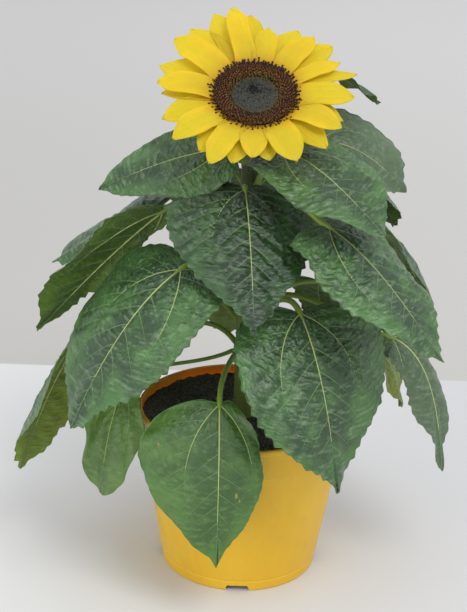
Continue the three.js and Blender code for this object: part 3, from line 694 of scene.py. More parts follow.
# %% Leaf table
LEAF_RULE = dict(
    turn=0, swing=0, lift=-20, droop=-70, bend=0.5, roll=0, fold=0, cup=18,
    lobe=0.2, taper=1.5, bias=0, wave=2, waves=3, phase=0, launch=40, slim=0, pucker=0.8, tone="deep",
)
LEAVES = {
    "collar_left": dict(node=262, heading=-150, reach=17, height=270, long=80, wide=50, turn=-34, swing=-4,
                        lift=-8, droop=-30, bend=0.6, roll=-36, fold=6, cup=14, taper=2.2, bias=0.12,
                        pucker=0.4, tone="mid"),
    "collar_right": dict(node=263, heading=-48, reach=28, height=274, long=84, wide=68, turn=4, swing=6,
                         lift=0, droop=-38, bend=0.6, roll=8, fold=4, cup=14, phase=1, pucker=0.5,
                         tone="mid"),
    "shoulder_right": dict(node=256, heading=8, reach=40, height=272, long=64, wide=52, swing=-8, lift=8,
                           droop=-48, roll=38, fold=4, cup=14, phase=2, tone="grey"),
    "crown_right": dict(node=272, heading=22, reach=54, height=309, long=31, wide=26, turn=-10, lift=-18,
                        droop=-42, roll=-10, phase=1, launch=20),
    "back_right_high": dict(node=246, heading=32, reach=47, height=255, long=84, wide=58, lift=4, droop=-62,
                            phase=1),
    "back_high": dict(node=250, heading=86, reach=34, height=274, long=80, wide=62, lift=0, droop=-60,
                      phase=2),
    "back_left_high": dict(node=248, heading=138, reach=42, height=259, long=84, wide=56, lift=0, droop=-50,
                           phase=0.4, tone="mid"),
    "front": dict(node=236, heading=-96, reach=26, height=251.5, long=96, wide=88, turn=12, swing=4,
                  lift=-10, droop=-66, roll=-4, fold=-4, cup=28, lobe=0.22, taper=3.3, bias=-0.06, phase=0.5,
                  pucker=1.3),
    "right_front": dict(node=248, heading=-47, reach=65, height=238, long=102, wide=74, turn=10, swing=12,
                        lift=-15, droop=-52, roll=4, fold=-2, cup=22, lobe=0.16, taper=1.6, bias=0.05,
                        phase=1.5, launch=78, pucker=1.1, tone="mid"),
    "right_high": dict(node=214, heading=6, reach=58, height=231, long=92, wide=56, lift=-10, droop=-72,
                       roll=-12, phase=0.6),
    "back": dict(node=226, heading=98, reach=56, height=238, long=104, wide=78, lift=-12, droop=-64,
                 phase=1.3),
    "back_right": dict(node=206, heading=56, reach=62, height=218, long=104, wide=80, lift=-12, droop=-66,
                       phase=2.1, tone="mid"),
    "left_high": dict(node=216, heading=182, reach=50, height=229, long=110, wide=54, lift=-40, droop=-50,
                      bend=0.6, roll=46, fold=-6, cup=6, lobe=0.05, bias=0.42, phase=1.2),
    "left_back_high": dict(node=206, heading=151, reach=62, height=220, long=80, wide=56, turn=22, lift=-14,
                           droop=-42, roll=-9, bias=-0.3, phase=0.1, tone="mid"),
    "left_front": dict(node=190, heading=-130, reach=58, height=208, long=114, wide=98, turn=-11, swing=-10,
                       lift=-20, droop=-64, roll=-5, fold=-2, cup=20, lobe=0.2, taper=1.4, bias=-0.16,
                       phase=2.5, tone="mid"),
    "back_left": dict(node=160, heading=143, reach=68, height=166, long=106, wide=64, lift=-18, droop=-70,
                      phase=1.7),
    "back_low": dict(node=180, heading=101, reach=64, height=180, long=104, wide=74, turn=-12, lift=-20,
                     droop=-70, phase=0.8),
    "low_front_right": dict(node=165, heading=-60, reach=60, height=187, long=110, wide=98, turn=-8,
                            swing=28, lift=-25, droop=-80, bend=0.4, cup=16, lobe=0.13, taper=2.0, bias=0.04,
                            phase=0.2, tone="mid"),
    "left_low": dict(node=170, heading=180, reach=91, height=157, long=116, wide=74, turn=-3, lift=-50,
                     droop=-74, roll=30, fold=-10, cup=30, phase=2.2, tone="mid"),
    "right_low": dict(node=172, heading=-12, reach=88, height=160, long=98, wide=34, turn=2, lift=-10,
                      droop=-82, bend=0.25, roll=30, fold=-8, cup=30, taper=2, bias=0.1, phase=0.9,
                      tone="grey"),
    "right_back_low": dict(node=160, heading=48, reach=72, height=166, long=82, wide=70, lift=-20,
                           droop=-86, phase=1.9),
    "right_small": dict(node=150, heading=12, reach=86, height=136, long=44, wide=26, lift=-45, droop=-78,
                        roll=25, phase=0.3, tone="yellowed"),
    "foot_front": dict(node=146, heading=-103, reach=62, height=132, long=98, wide=72, turn=16, lift=-40,
                       droop=-80, bend=0.3, cup=12, lobe=0.06, taper=2.5, bias=-0.26, wave=1, phase=0.2,
                       launch=10, slim=0.38, pucker=0.3, tone="pale"),
    "foot_left": dict(node=140, heading=-172, reach=73, height=117, long=69, wide=49, turn=54, swing=-10,
                      lift=-30, droop=-82, bend=0.3, roll=10, cup=16, lobe=0.04, taper=0.15, bias=-0.05,
                      launch=-25, pucker=0.3, tone="young"),
    "foot_back_left": dict(node=144, heading=145, reach=70, height=131, long=90, wide=58, lift=-30,
                           droop=-80, bend=0.4, phase=1.1, tone="mid"),
    "foot_back": dict(node=136, heading=62, reach=68, height=130, long=88, wide=66, lift=-30, droop=-80,
                      bend=0.4, phase=2.6, tone="pale"),
}
SWEEP = 0.975 * math.pi  # the margin's angle runs from the tip, 0, nearly to the notch
NEAR_TIP = 0.11  # the angle where the rows of a blade's net end
SHOULDER, SHOULDER_SPREAD = 2.5, 0.5  # where on that angle a slim shoulder is drawn in, and over how much
print(len(LEAVES), "leaves, the longest", max(leaf["long"] for leaf in LEAVES.values()), "mm")

# %% [markdown]
# A blade is laid out flat first, as an outline about its midrib, and then carried onto the bent midrib. So
# teeth and veins can be drawn on the flat, where distances are simple, and they follow every bend.

# %% Midrib and margin
def leaf_spine(leaf, steps=60):
    """The midrib's points and the blade's directions along it, from the foot to the tip."""
    s = np.linspace(0, 1, steps + 1)
    sag = (1 - np.exp(-s / leaf.bend)) / (1 - math.exp(-1 / leaf.bend))
    slope = np.radians(leaf.lift + (leaf.droop - leaf.lift) * sag)
    azimuth = np.radians(leaf.heading + leaf.turn + leaf.swing * s)
    roll = math.radians(leaf.roll)
    along = np.stack([np.cos(slope) * np.cos(azimuth), np.cos(slope) * np.sin(azimuth), np.sin(slope)], -1)
    level = np.stack([-np.sin(azimuth), np.cos(azimuth), 0 * s], -1)
    across = level * math.cos(roll) + np.cross(along, level) * math.sin(roll)
    heading = math.radians(leaf.heading)
    foot = stem_axis(leaf.node) + leaf.reach * np.array([math.cos(heading), math.sin(heading), 0])
    foot[2] = leaf.height
    steps_taken = (along[1:] + along[:-1]) / 2 * leaf.long / steps
    points = foot + np.vstack([np.zeros(3), np.cumsum(steps_taken, 0)])
    return SimpleNamespace(s=s, points=points, along=along, across=across, normal=np.cross(along, across))


def width_curve(c, taper):
    return np.sin(c) * np.tanh(c / 1.05) ** taper


def margin(leaf, c, side):
    """The margin's place on the flat blade, at angle c from the tip, and the midrib's place beside it."""
    widest = width_curve(np.arange(0, math.pi, 0.01), leaf.taper).max()
    middle = leaf.long * (np.cos(c) + 1) / 2
    notch = leaf.long * 2 * leaf.lobe * np.sin(c) * ((1 - np.cos(c)) / 2) ** 2
    shoulder = 1 - (side > 0) * leaf.slim * np.exp(-((c - SHOULDER) / SHOULDER_SPREAD) ** 2)
    aside = side * (1 + side * leaf.bias) * leaf.wide / 2 * shoulder * width_curve(c, leaf.taper) / widest
    return middle - notch, aside, middle


def prepared(values):
    """A leaf's numbers with its midrib, and tables that turn a flat place into an angle and a share."""
    leaf = SimpleNamespace(**{**LEAF_RULE, **values})
    leaf.spine = leaf_spine(leaf)
    leaf.tables = {}
    c = np.linspace(0.0, SWEEP, 400)
    for side in (-1, 1):
        x, y, _ = margin(leaf, c, side)
        leaf.tables[side] = (np.maximum.accumulate(np.arctan2(np.abs(y), x)), c, np.hypot(x, y))
    return leaf


def angle_and_share(leaf, x, y):
    """The margin's angle in the direction of a flat place, and how far out towards the margin it is."""
    direction, distance = np.arctan2(np.abs(y), x), np.hypot(x, y)
    angle, share = np.zeros(np.shape(x)), np.zeros(np.shape(x))
    for side in (-1, 1):
        directions, angles, radii = leaf.tables[side]
        here = (y > 0) == (side > 0)
        angle[here] = side * np.interp(direction[here], directions, angles)
        share[here] = distance[here] / np.interp(direction[here], directions, radii)
    return angle, np.minimum(share, 1.1)


def bare_surface(leaf, x, y):
    """Flat places carried onto the bent, folded, cupped and waved blade, without its relief."""
    spine = leaf.spine
    s = np.clip(x / leaf.long, 0, 1)
    point, across, normal = (
        np.stack([np.interp(s, spine.s, values[:, k]) for k in range(3)], -1)
        for values in (spine.points, spine.across, spine.normal)
    )
    point = point + spine.along[0] * np.minimum(x, 0)[:, None]
    half, distance, fold = leaf.wide / 2, np.abs(y), math.radians(leaf.fold)
    rate = math.radians(leaf.cup) / half
    end = fold - rate * distance
    sideways = (math.sin(fold) - np.sin(end)) / rate
    rise = (np.cos(end) - math.cos(fold)) / rate
    angle, share = angle_and_share(leaf, x, y)
    ripple = np.sin(2 * leaf.waves * angle + leaf.phase) * np.minimum(1, distance / (0.25 * half))
    lift = rise + leaf.wave * share ** 2 * ripple
    return point + unit(across) * (np.sign(y) * sideways)[:, None] + unit(normal) * lift[:, None]


example = prepared(LEAVES["front"])
reached = bare_surface(example, np.array([0.0, example.long]), np.zeros(2))
print("front leaf runs from", reached[0].round(1), "to", reached[1].round(1))

# %% [markdown]
# ## Veins
#
# A sunflower leaf has three strong veins from its foot. Others leave the midrib in pairs and curve towards
# the tip, and more run outward from the two strong side veins. A painted vein would vanish from beside, and
# it blurs when the finish is baked, so each one is a real rib. They are traced on the flat blade like the
# track of a car: a start, a heading, a steady curl, and a stop before the margin or another vein.

# %% Trace the veins
def trace(leaf, start, side, angle, curl, stop_share=0.93, limit=400.0, avoid=(), step=1.6):
    """Follows a vein from a flat place. angle is measured from the midrib, and curl turns it to the tip."""
    x, y = start
    line = [(x, y)]
    theta, gone = math.radians(angle), 0.0
    while gone < limit:
        x, y = x + step * math.cos(theta), y + side * step * math.sin(theta)
        gone += step
        theta -= math.radians(curl) * step
        if side * y < 0.2 or angle_and_share(leaf, np.array([x]), np.array([y]))[1][0] > stop_share:
            break
        if any(np.hypot(*(np.array(other) - (x, y)).T).min() < 2.2 for other in avoid):
            break
        line.append((x, y))
    return line


def leaf_veins(leaf, seed):
    """[(kind, flat line, half width at its start)], the strong ones first."""
    long, wide = leaf.long, leaf.wide
    draw = np.random.default_rng(seed)
    midrib = [(x, 0.0) for x in np.linspace(0, 0.975 * long, 60)]
    veins = [("main", midrib, 0.0062 * long)]
    spread = 34 + 20 * wide / long
    strong = {}
    for side in (-1, 1):
        bow = spread + draw.normal(0, 2)
        strong[side] = trace(leaf, (0.012 * long, 0), side, bow, bow * 1.02 / (0.52 * long), 0.9, 0.6 * long)
        veins.append(("main", strong[side], 0.0046 * long))
    for side in (-1, 1):
        for k, share in enumerate((0.2, 0.31, 0.42, 0.53, 0.63, 0.72, 0.8, 0.88)):
            start = ((share + 0.018 * side + draw.normal(0, 0.008)) * long, 0)
            line = trace(leaf, start, side, 62 - 2.2 * k + draw.normal(0, 3), 50 / (0.8 * long),
                         avoid=(strong[side],))
            veins.append(("side", line, (0.0034 - 0.0002 * k) * long))
        for k, share in enumerate((0.0, 0.1, 0.24, 0.4, 0.56, 0.72, 0.88)):
            place = strong[side][int(share * (len(strong[side]) - 1))]
            angle = (118, 104, 88, 78, 68, 60, 54)[k] + draw.normal(0, 3)
            line = trace(leaf, place, side, angle, (1.3, 1.2, 0.9, 0.7, 0.6, 0.5, 0.5)[k] * 40 / long)
            veins.append(("side", line, (0.0031 - 0.0001 * k) * long))
    return [vein for vein in veins if len(vein[1]) > 3]


def vein_distance(veins, x, y, kinds):
    """Distance from each flat place to the nearest vein of these kinds."""
    nodes = np.array([p for kind, line, _ in veins if kind in kinds for p in line])
    nearest = np.full(len(x), 1e9)
    for block in range(0, len(nodes), 200):
        part = nodes[block:block + 200]
        apart = (x[:, None] - part[None, :, 0]) ** 2 + (y[:, None] - part[None, :, 1]) ** 2
        nearest = np.minimum(nearest, apart.min(1))
    return np.sqrt(nearest)


print("veins on the front leaf:", len(leaf_veins(example, 1)))

# %% [markdown]
# ## Relief of the blade
#
# Between its veins the blade grows faster than they do, so it puffs up and puckers: the veins lie in
# valleys, small cross veins pull it into a ladder of wrinkles, and the margin ruffles. A bump map gives the
# shading but leaves the edge flat, so the relief moves the points along the blade's normal.

# %% Relief
def flow(leaf, x, y):
    """Millimetres out from the blade's foot, and round it. Wrinkles lie across the first."""
    back = x + 0.07 * leaf.long
    out = np.hypot(back, y) + 2.2 * swell(x / 15 + 50, y / 15 + 50, 1)
    return out, np.arctan2(y, back) * 45 + 3 * swell(x / 20 + 50, y / 20 + 50, 2)


def relief(leaf, veins, x, y, seed):
    """Height of the puckered blade over its bare surface, in millimetres."""
    angle, share = angle_and_share(leaf, x, y)
    strong = vein_distance(veins, x, y, ("main",))
    any_vein = np.minimum(strong, vein_distance(veins, x, y, ("side",)))
    out, round_about = flow(leaf, x, y)
    puff = 1 - np.exp(-(any_vein / 3.2) ** 2)
    ladder = swell(out / 3.3 + 40, round_about / 7 + 40, seed)
    pillows = quilt(out / 4.2 + 20, round_about / 5.6 + 20, seed)
    heights = 1.2 * puff + puff * (0.4 * ladder + 1.1 * pillows) - 0.5 * np.exp(-(strong / 1.7) ** 2)
    calm = 1 - 0.4 * np.clip(out / leaf.long - 0.45, 0, 1) * 2
    ruffle = np.clip(share, 0, 1) ** 5 * swell(angle * leaf.long / 24 + 9, share * 2, seed + 9)
    return leaf.pucker * heights * calm * (1 - 0.5 * np.clip(share, 0, 1) ** 8) + 1.3 * ruffle


def on_blade(leaf, veins, flat, seed, offset=0.0):
    """Places on the finished blade and its normals there. offset moves them along the normal."""
    x, y = np.asarray(flat, float).T
    e = 0.35
    point, dx, dy = (bare_surface(leaf, x + a, y + b) for a, b in ((0, 0), (e, 0), (0, e)))
    normal = unit(np.cross(dx - point, dy - point))
    return point + normal * (relief(leaf, veins, x, y, seed) + offset)[:, None], normal


# %% [markdown]
# ## Leaf finishes
#
# The upper side is a deep green, with a pale bluish grey painted on the backs of its wrinkles: a painted
# highlight, the sky's glint on them, which leaves the creases darker.
# The underside is paler and duller. Old low leaves go light or yellow. Sheen stands in for the short hairs:
# millions of them could be modelled, but from arm's length only their grey shine shows.

# %% Leaf finishes
def leaf_skin(name, dark, light, painted_glint, roughness, sheen, depth=1.5):
    """The blade's skin: wrinkles across the way it grows, green in the creases and with a painted highlight
    on their backs.
    """
    finish = Finish(name, Specular_IOR_Level=0.6, Sheen_Weight=sheen, Sheen_Roughness=0.4)
    finish.set(Sheen_Tint=colour(206, 222, 216))
    place = finish.here()
    grown = finish.scaled(finish.marks(), (1.0, 0.6, 0.0))
    wrinkles = 1.0 - finish.cells(grown, 2.4)
    swells = finish.noise(grown, 3.0, 2.0)
    clouds = finish.noise(place, 15, 3.0)
    mottle = finish.noise(place, 1.5, 4.0)
    # crest marks the wrinkles' backs, which take the third colour: a painted highlight, the sky's glint on
    # them.
    crest = finish.between(0.7 * wrinkles + 0.4 * swells + 0.3 * mottle, 0.72, 1.06)
    toward_margin = finish.part(finish.marks(), 2)
    fresh = finish.between(clouds * 0.7 + mottle * 0.3 + 0.2 * toward_margin, 0.46, 0.8)
    green = finish.mix(fresh, colour(*dark), colour(*light))
    finish.set(Base_Color=finish.mix(crest * 0.45, green, colour(*painted_glint)))
    finish.set(Roughness=roughness + 0.14 * mottle)
    heights = 0.6 * wrinkles + 0.3 * finish.between(swells, 0.3, 0.7) + 0.12 * finish.noise(place, 0.5)
    finish.set(Normal=finish.bump(heights, depth))
    return finish


def vein_skin(name, main, tint):
    finish = Finish(name, Specular_IOR_Level=0.4, Sheen_Weight=0.15)
    grain = finish.noise(finish.here(), 1.4, 3.0)
    finish.set(Base_Color=finish.mix(grain, main, tint), Roughness=0.45 + 0.2 * grain)
    finish.set(Normal=finish.bump(grain, 0.12, 0.6))
    return finish


LEAF_TONES = {  # dark and light greens and a painted highlight for the wrinkles' backs, as screen colours, then roughness, sheen and depth of the wrinkles
    "deep": ((24, 48, 21), (46, 84, 32), (104, 132, 94), 0.24, 0.05, 1.7),
    "mid": ((40, 68, 35), (72, 112, 54), (128, 154, 116), 0.25, 0.05, 1.6),
    "pale": ((52, 84, 34), (76, 114, 44), (98, 132, 70), 0.36, 0.06, 0.6),
    "young": ((70, 102, 38), (92, 128, 50), (116, 146, 84), 0.36, 0.06, 0.6),
    # grey is a paler, greyer copy of the green for leaves whose upper side faces the sky: painted sheen.
    "grey": ((70, 92, 62), (88, 110, 78), (124, 142, 116), 0.36, 0.15, 0.9),
    "yellowed": ((112, 130, 48), (152, 164, 74), (150, 160, 100), 0.5, 0.15, 1.5),
}
UPPER = {tone: leaf_skin(f"leaf_{tone}", *values) for tone, values in LEAF_TONES.items()}
# Undersides and bracts carry the same painted highlight on the backs of their wrinkles.
UNDER = leaf_skin("leaf_under", (68, 96, 28), (88, 118, 36), (114, 140, 62), 0.5, 0.1)
UNDER_THIN = leaf_skin("leaf_under_thin", (96, 124, 36), (118, 146, 46), (136, 160, 74), 0.5, 0.1)
THIN_LEAVES = {"left_low", "foot_left"}  # their lighter underside stands for light coming through
VEIN_PALE = vein_skin("vein_pale", colour(162, 178, 100), colour(186, 198, 130))
VEIN_GREEN = vein_skin("vein_green", colour(96, 128, 74), colour(122, 150, 98))
STALK = vein_skin("stalk_skin", colour(112, 142, 44), colour(144, 166, 66))
BROWN = vein_skin("dry_spot", colour(124, 122, 54), colour(146, 138, 70))
print("leaf tones:", ", ".join(UPPER))

# %% [markdown]
# ## Blades
#
# The blade is a net of points: rows run from the midrib out to the margin, and they lean back into the two
# lobes beside the stalk. The rows are spaced so that five of them make one tooth of the margin, or seven on
# the leaves in `FINER`. A saw wave pushes the margin out into teeth, larger and smaller by seeded chance.

# %% Margin with teeth, and the flat net
TOOTH = 7.2  # millimetres of margin to a tooth
TOOTH_DEPTH = 0.017  # of the blade's length, where the blade is well puckered
WANDER = 0.016  # how far the margin strays from its formula, of the blade's length
ROWS_PER_TOOTH = 5
ACROSS = 24  # points from the midrib to the margin
FINER = {"front", "right_front", "left_front", "low_front_right", "foot_front"}  # large leaves in full view


def toothed_margin(leaf, side, rows, seed):
    """Rows from the notch to the tip, a tooth to every ROWS_PER_TOOTH: margin, midrib and tooth length."""
    c = np.linspace(SWEEP, NEAR_TIP, 600)
    x, y, _ = margin(leaf, c, side)
    gone = np.concatenate([[0], np.cumsum(np.hypot(np.diff(x), np.diff(y)))])
    c = np.interp(np.linspace(0, gone[-1], rows), gone, c)
    x, y, middle = margin(leaf, c, side)
    outward = unit(np.stack([-side * np.gradient(y), side * np.gradient(x)], -1))
    outward *= np.sign((outward * np.stack([np.zeros(rows), y], -1)).sum(-1, keepdims=True) + 1e-9)
    number, place = np.divmod(np.arange(rows), leaf.rows_per_tooth)
    saw = np.interp(place / leaf.rows_per_tooth, [0, 0.6, 1.0], [0, 1, 0])
    sizes = 0.35 + 1.15 * spots(number * 1.0, side * 2.0, seed)
    fading = np.clip((c - 0.1) / 0.5, 0, 1) * np.clip((2.7 - c) / 0.6, 0, 1)
    uneven = WANDER * swell(c * leaf.long / 26 + 7, side * 3.0, seed + 4)
    depth = TOOTH_DEPTH * np.clip(1.6 * leaf.pucker - 0.2, 0.2, 1)  # smooth blades have small teeth
    return x, y, middle, outward * (leaf.long * (depth * saw * sizes + uneven) * fading)[:, None]


def flat_blade(leaf, seed):
    """The blade's net on the flat: rows from foot to tip, and columns from one margin to the other."""
    per_side = [margin(leaf, np.linspace(SWEEP, NEAR_TIP, 300), side)[:2] for side in (-1, 1)]
    length = np.mean([np.hypot(np.diff(x), np.diff(y)).sum() for x, y in per_side])
    rows = leaf.rows_per_tooth * max(6, round(length / TOOTH)) + 1
    share = np.linspace(0, 1, leaf.across + 1)[1:]
    halves = []
    for side in (-1, 1):
        x, y, middle, teeth = toothed_margin(leaf, side, rows, seed)
        lean = middle[:, None] + (x - middle)[:, None] * share[None] ** 1.3
        half = np.stack([lean, y[:, None] * share[None]], -1)
        half += teeth[:, None, :] * (share ** 9)[None, :, None]
        halves.append(half)
    spine = np.stack([middle, 0 * middle], -1)[:, None]
    return np.concatenate([halves[0][:, ::-1], spine, halves[1]], 1)


print("rows to a tooth:", ROWS_PER_TOOTH, "and", ROWS_PER_TOOTH + 2, "on", len(FINER), "leaves")

# %% [markdown]
# A blade is thin but not flat paper: it has two sides with their own finishes. The net is moved up and down
# by the blade's half thickness, and a strip closes the edge. A Solidify modifier with a vertex group
# would do nearly the same. Here each point's thickness comes from its place between midrib and margin.

# %% Blade
def sheet_faces(rows, columns):
    """Faces of a closed sheet: the upper net, then the lower one, then the strip round their edge."""
    count = rows * columns
    ring = np.concatenate([
        np.arange(columns), np.arange(2, rows) * columns - 1, count - 1 - np.arange(columns),
        np.arange(rows - 2, 0, -1) * columns,
    ])
    following = np.roll(ring, -1)
    edge = np.stack([ring, following, following + count, ring + count], -1)
    net = grid_faces(rows, columns)
    return np.concatenate([turned_over(net), net + count, turned_over(edge)])


def add_blade(shape, leaf, veins, seed):
    net = flat_blade(leaf, seed)
    rows, columns = net.shape[:2]
    edge_share = np.abs(np.linspace(-1, 1, columns))
    thickness = np.broadcast_to(0.3 - 0.2 * edge_share ** 6, (rows, columns)).ravel()
    middle, normal = on_blade(leaf, veins, net.reshape(-1, 2), seed)
    points = np.concatenate([middle + normal * thickness[:, None], middle - normal * thickness[:, None]])
    grown = np.column_stack(flow(leaf, *net.reshape(-1, 2).T)) * MM
    marks = np.concatenate([np.column_stack([grown, edge_share[None].repeat(rows, 0).ravel()])] * 2)
    faces = sheet_faces(rows, columns)
    upper_faces = (rows - 1) * (columns - 1)
    underside = np.arange(len(faces)) >= upper_faces  # the edge takes the underside's finish too
    shape.add(points, faces, underside.astype(int), marks)


# %% [markdown]
# The veins are tubes with six sides, half sunk in the blade. The thick ones stand out more underneath, as
# real ones do. A few dry flecks are thin patches laid on the upper side.

# %% Ribs and blemishes
def add_rib(shape, leaf, veins, line, width, seed, pale_until):
    """A vein as a rib in the blade: low on the upper side, and standing out underneath."""
    flat = np.array(line)
    point, normal = on_blade(leaf, veins, flat, seed)
    tangent = unit(np.gradient(point, axis=0))
    side = unit(np.cross(normal, tangent))
    share = np.linspace(0, 1, len(flat))
    half = width * (1 - 0.85 * share ** 0.7)
    angles = 2 * math.pi * np.arange(6) / 6
    above, below = 0.42 + 0.45 * half, 0.3 + 0.95 * half
    height = np.where(np.sin(angles)[None] > 0, above[:, None], below[:, None]) * np.sin(angles)[None]
    ring = (point[:, None] + side[:, None] * (half[:, None] * np.cos(angles)[None])[..., None]
            + normal[:, None] * height[..., None])
    faces = turned_over(grid_faces(len(flat), 6, closed=True))
    pale = np.repeat(share[:-1] < pale_until, 6)
    shape.add(ring.reshape(-1, 3), faces, np.where(pale, 2, 3))
    tip = np.concatenate([ring[-1], (point[-1] + tangent[-1] * half[-1])[None]])
    shape.add(tip, turned_over(fan_faces(6)), 3)


def add_blemish(shape, leaf, veins, x, y, size, seed):
    """A small dry patch on the upper side, long along the blade."""
    corners = 14
    turn = 2 * math.pi * np.arange(corners) / corners
    reach = size * (1 + 0.25 * swell(turn * 2 + 5, turn * 0, seed))
    flat = np.stack([x + reach * np.cos(turn), y + 0.45 * reach * np.sin(turn)], -1)
    point, _ = on_blade(leaf, veins, np.vstack([flat, [[x, y]]]), seed, 0.36)
    shape.add(point, fan_faces(corners), 5)


# %% [markdown]
# The stalk leaves the stem at its own angle and bends into the midrib's direction, so a Bezier curve with a
# handle for each end is its line. It is ribbed, and it thickens where it meets the stem.

# %% Stalk
def bezier(a, b, c, d, steps):
    t = np.linspace(0, 1, steps)[:, None]
    return a * (1 - t) ** 3 + 3 * b * t * (1 - t) ** 2 + 3 * c * t ** 2 * (1 - t) + d * t ** 3


def stalk_line(leaf):
    """The stalk's line, from inside the stem to a little way into the blade."""
    heading, launch = math.radians(leaf.heading), math.radians(leaf.launch)
    outward = np.array([math.cos(heading), math.sin(heading), 0])
    start = stem_axis(leaf.node) + outward * (stem_radius(leaf.node) + GAP)
    launched = outward * math.cos(launch) + np.array([0, 0, math.sin(launch)])
    first, end = start + outward * 2, leaf.spine.points[0]
    span = np.linalg.norm(end - first)
    line = bezier(first, first + launched * 0.4 * span, end - leaf.spine.along[0] * 0.35 * span, end, 26)
    inside = leaf.spine.points[3] - leaf.spine.normal[3] * 0.3
    return np.vstack([start - outward * 2.5, start, line, inside])


STALK_SHARE = 0.017  # a stalk's radius, as a share of its blade's length


def add_stalk(shape, leaf):
    line = stalk_line(leaf)
    share = np.linspace(0, 1, len(line))
    radius = STALK_SHARE * leaf.long
    flare = 1 + 0.55 * np.exp(-share / 0.06) + 0.12 * np.exp(-((share - 1) / 0.08) ** 2)
    radii = radius * flare * (1 - 0.12 * share)
    radii[-1] = 0.45 * radius
    limb(shape, line, radii, 14, 4, ribs=7, rib_depth=0.07)
    return line


# %% [markdown]
# Each leaf becomes one piece: blade, ribs and stalk together, as they grow. They keep their own finishes, so
# the pale veins stay crisp on the deep green.

# %% Grow the leaves
BLEMISHES = {"foot_front": ((54, 10.5, 1.5), (57, 12.4, 0.9), (25, -35, 1.2))}  # along, aside and size, in mm
PALE_SHARE = {"main": 0.72, "side": 0}  # how much of a vein's length is pale, from its start
stalks = {}
leaf_faces = 0
for number, (name, values) in enumerate(LEAVES.items()):
    leaf = prepared(values)
    leaf.rows_per_tooth = ROWS_PER_TOOTH + 2 * (name in FINER)
    leaf.across = ACROSS + 12 * (name in FINER)
    veins = leaf_veins(leaf, number)
    shape = Shape()
    add_blade(shape, leaf, veins, number)
    for kind, line, width in veins:
        add_rib(shape, leaf, veins, line, 1.25 * width, number, PALE_SHARE[kind])
    for x, y, size in BLEMISHES.get(name, ()):
        add_blemish(shape, leaf, veins, x, y, size, number)
    stalks[name] = add_stalk(shape, leaf)
    piece = shape.piece(
        f"{name}_leaf", "leaf", [f"leaf_{name}"], UPPER[leaf.tone],
        UNDER_THIN if name in THIN_LEAVES else UNDER,
        VEIN_PALE, VEIN_GREEN, STALK, BROWN,
    )
    leaf_faces += triangles_of(piece)
print(len(LEAVES), "leaves,", leaf_faces, "triangles")

# %% [markdown]
# ## Stem
#
# The stem is ribbed, swells where each leaf stalk leaves it and flares at the soil. A cylinder with a bump
# map would show a smooth outline, so the ribs and swellings are in its points. Stiff short hairs stand out
# all over it and on the stalks.

# %% Stem
def stem_skin(name, low, high):
    """Green low down, and painted darker up towards the neck: painted shade under the head."""
    finish = Finish(name, Specular_IOR_Level=0.35, Sheen_Weight=0.1)
    place = finish.here()
    grain = finish.noise(finish.scaled(place, (1.0, 1.0, 0.2)), 1.2, 3.0)
    up = finish.part(place, 2) * (1 / MM)
    # From 190 to 262 mm up the colour darkens to the second one: painted shade under the flower head.
    base = finish.mix(finish.between(up + 12 * grain, 190, 262), low, high)
    finish.set(Base_Color=finish.mix(grain * 0.5, base, colour(150, 158, 96)), Roughness=0.5 + 0.2 * grain)
    finish.set(Normal=finish.bump(grain, 0.2, 0.7))
    return finish


# The dark second colour is painted shade under the head.
STEM_SKIN = stem_skin("stem_skin", colour(104, 126, 54), colour(30, 32, 20))


def make_stem():
    rings, sides = 150, 40
    z = np.linspace(SOIL_LEVEL - 2, neck[2], rings)
    centres = stem_axis(z)
    tangents = unit(np.gradient(centres, axis=0))
    tangents[-1] = face_normal
    across = np.tile([1.0, 0, 0], (rings, 1))
    across = unit(across - tangents * (across * tangents).sum(-1, keepdims=True))
    other = np.cross(tangents, across)
    angle = 2 * math.pi * np.arange(sides) / sides
    radii = stem_radius(np.maximum(z, SOIL_LEVEL))[:, None] * (1 + 0.035 * np.cos(10 * angle + 0.4))[None]
    radii = radii * (1 + 0.02 * swell(angle[None] * 3, z[:, None] / 9, 3))
    for values in LEAVES.values():
        turn = np.cos(angle[None] - math.radians(values["heading"]))
        radii = radii + 1.1 * np.exp(-((z[:, None] - values["node"]) / 4) ** 2) * np.clip(turn, 0, 1) ** 3
    points = (centres[:, None] + across[:, None] * (radii * np.cos(angle)[None])[..., None]
              + other[:, None] * (radii * np.sin(angle)[None])[..., None])
    shape = Shape()
    shape.add(points.reshape(-1, 3), grid_faces(rings, sides, closed=True))
    shape.add(np.vstack([points[0], centres[0]]), turned_over(fan_faces(sides)))
    shape.add(np.vstack([points[-1], centres[-1]]), fan_faces(sides))
    return shape.piece("stem_skin", "stem", ["stem"], STEM_SKIN)


HAIR_SKIN = vein_skin("hair", colour(186, 196, 150), colour(206, 212, 176))
HAIR = np.array([[1, 0, 0], [-0.5, 0.87, 0], [-0.5, -0.87, 0], [0, 0, 1.0]]) * (0.06, 0.06, 1)
HAIR_FACES = [(0, 1, 3), (1, 2, 3), (2, 0, 3), (0, 2, 1)]


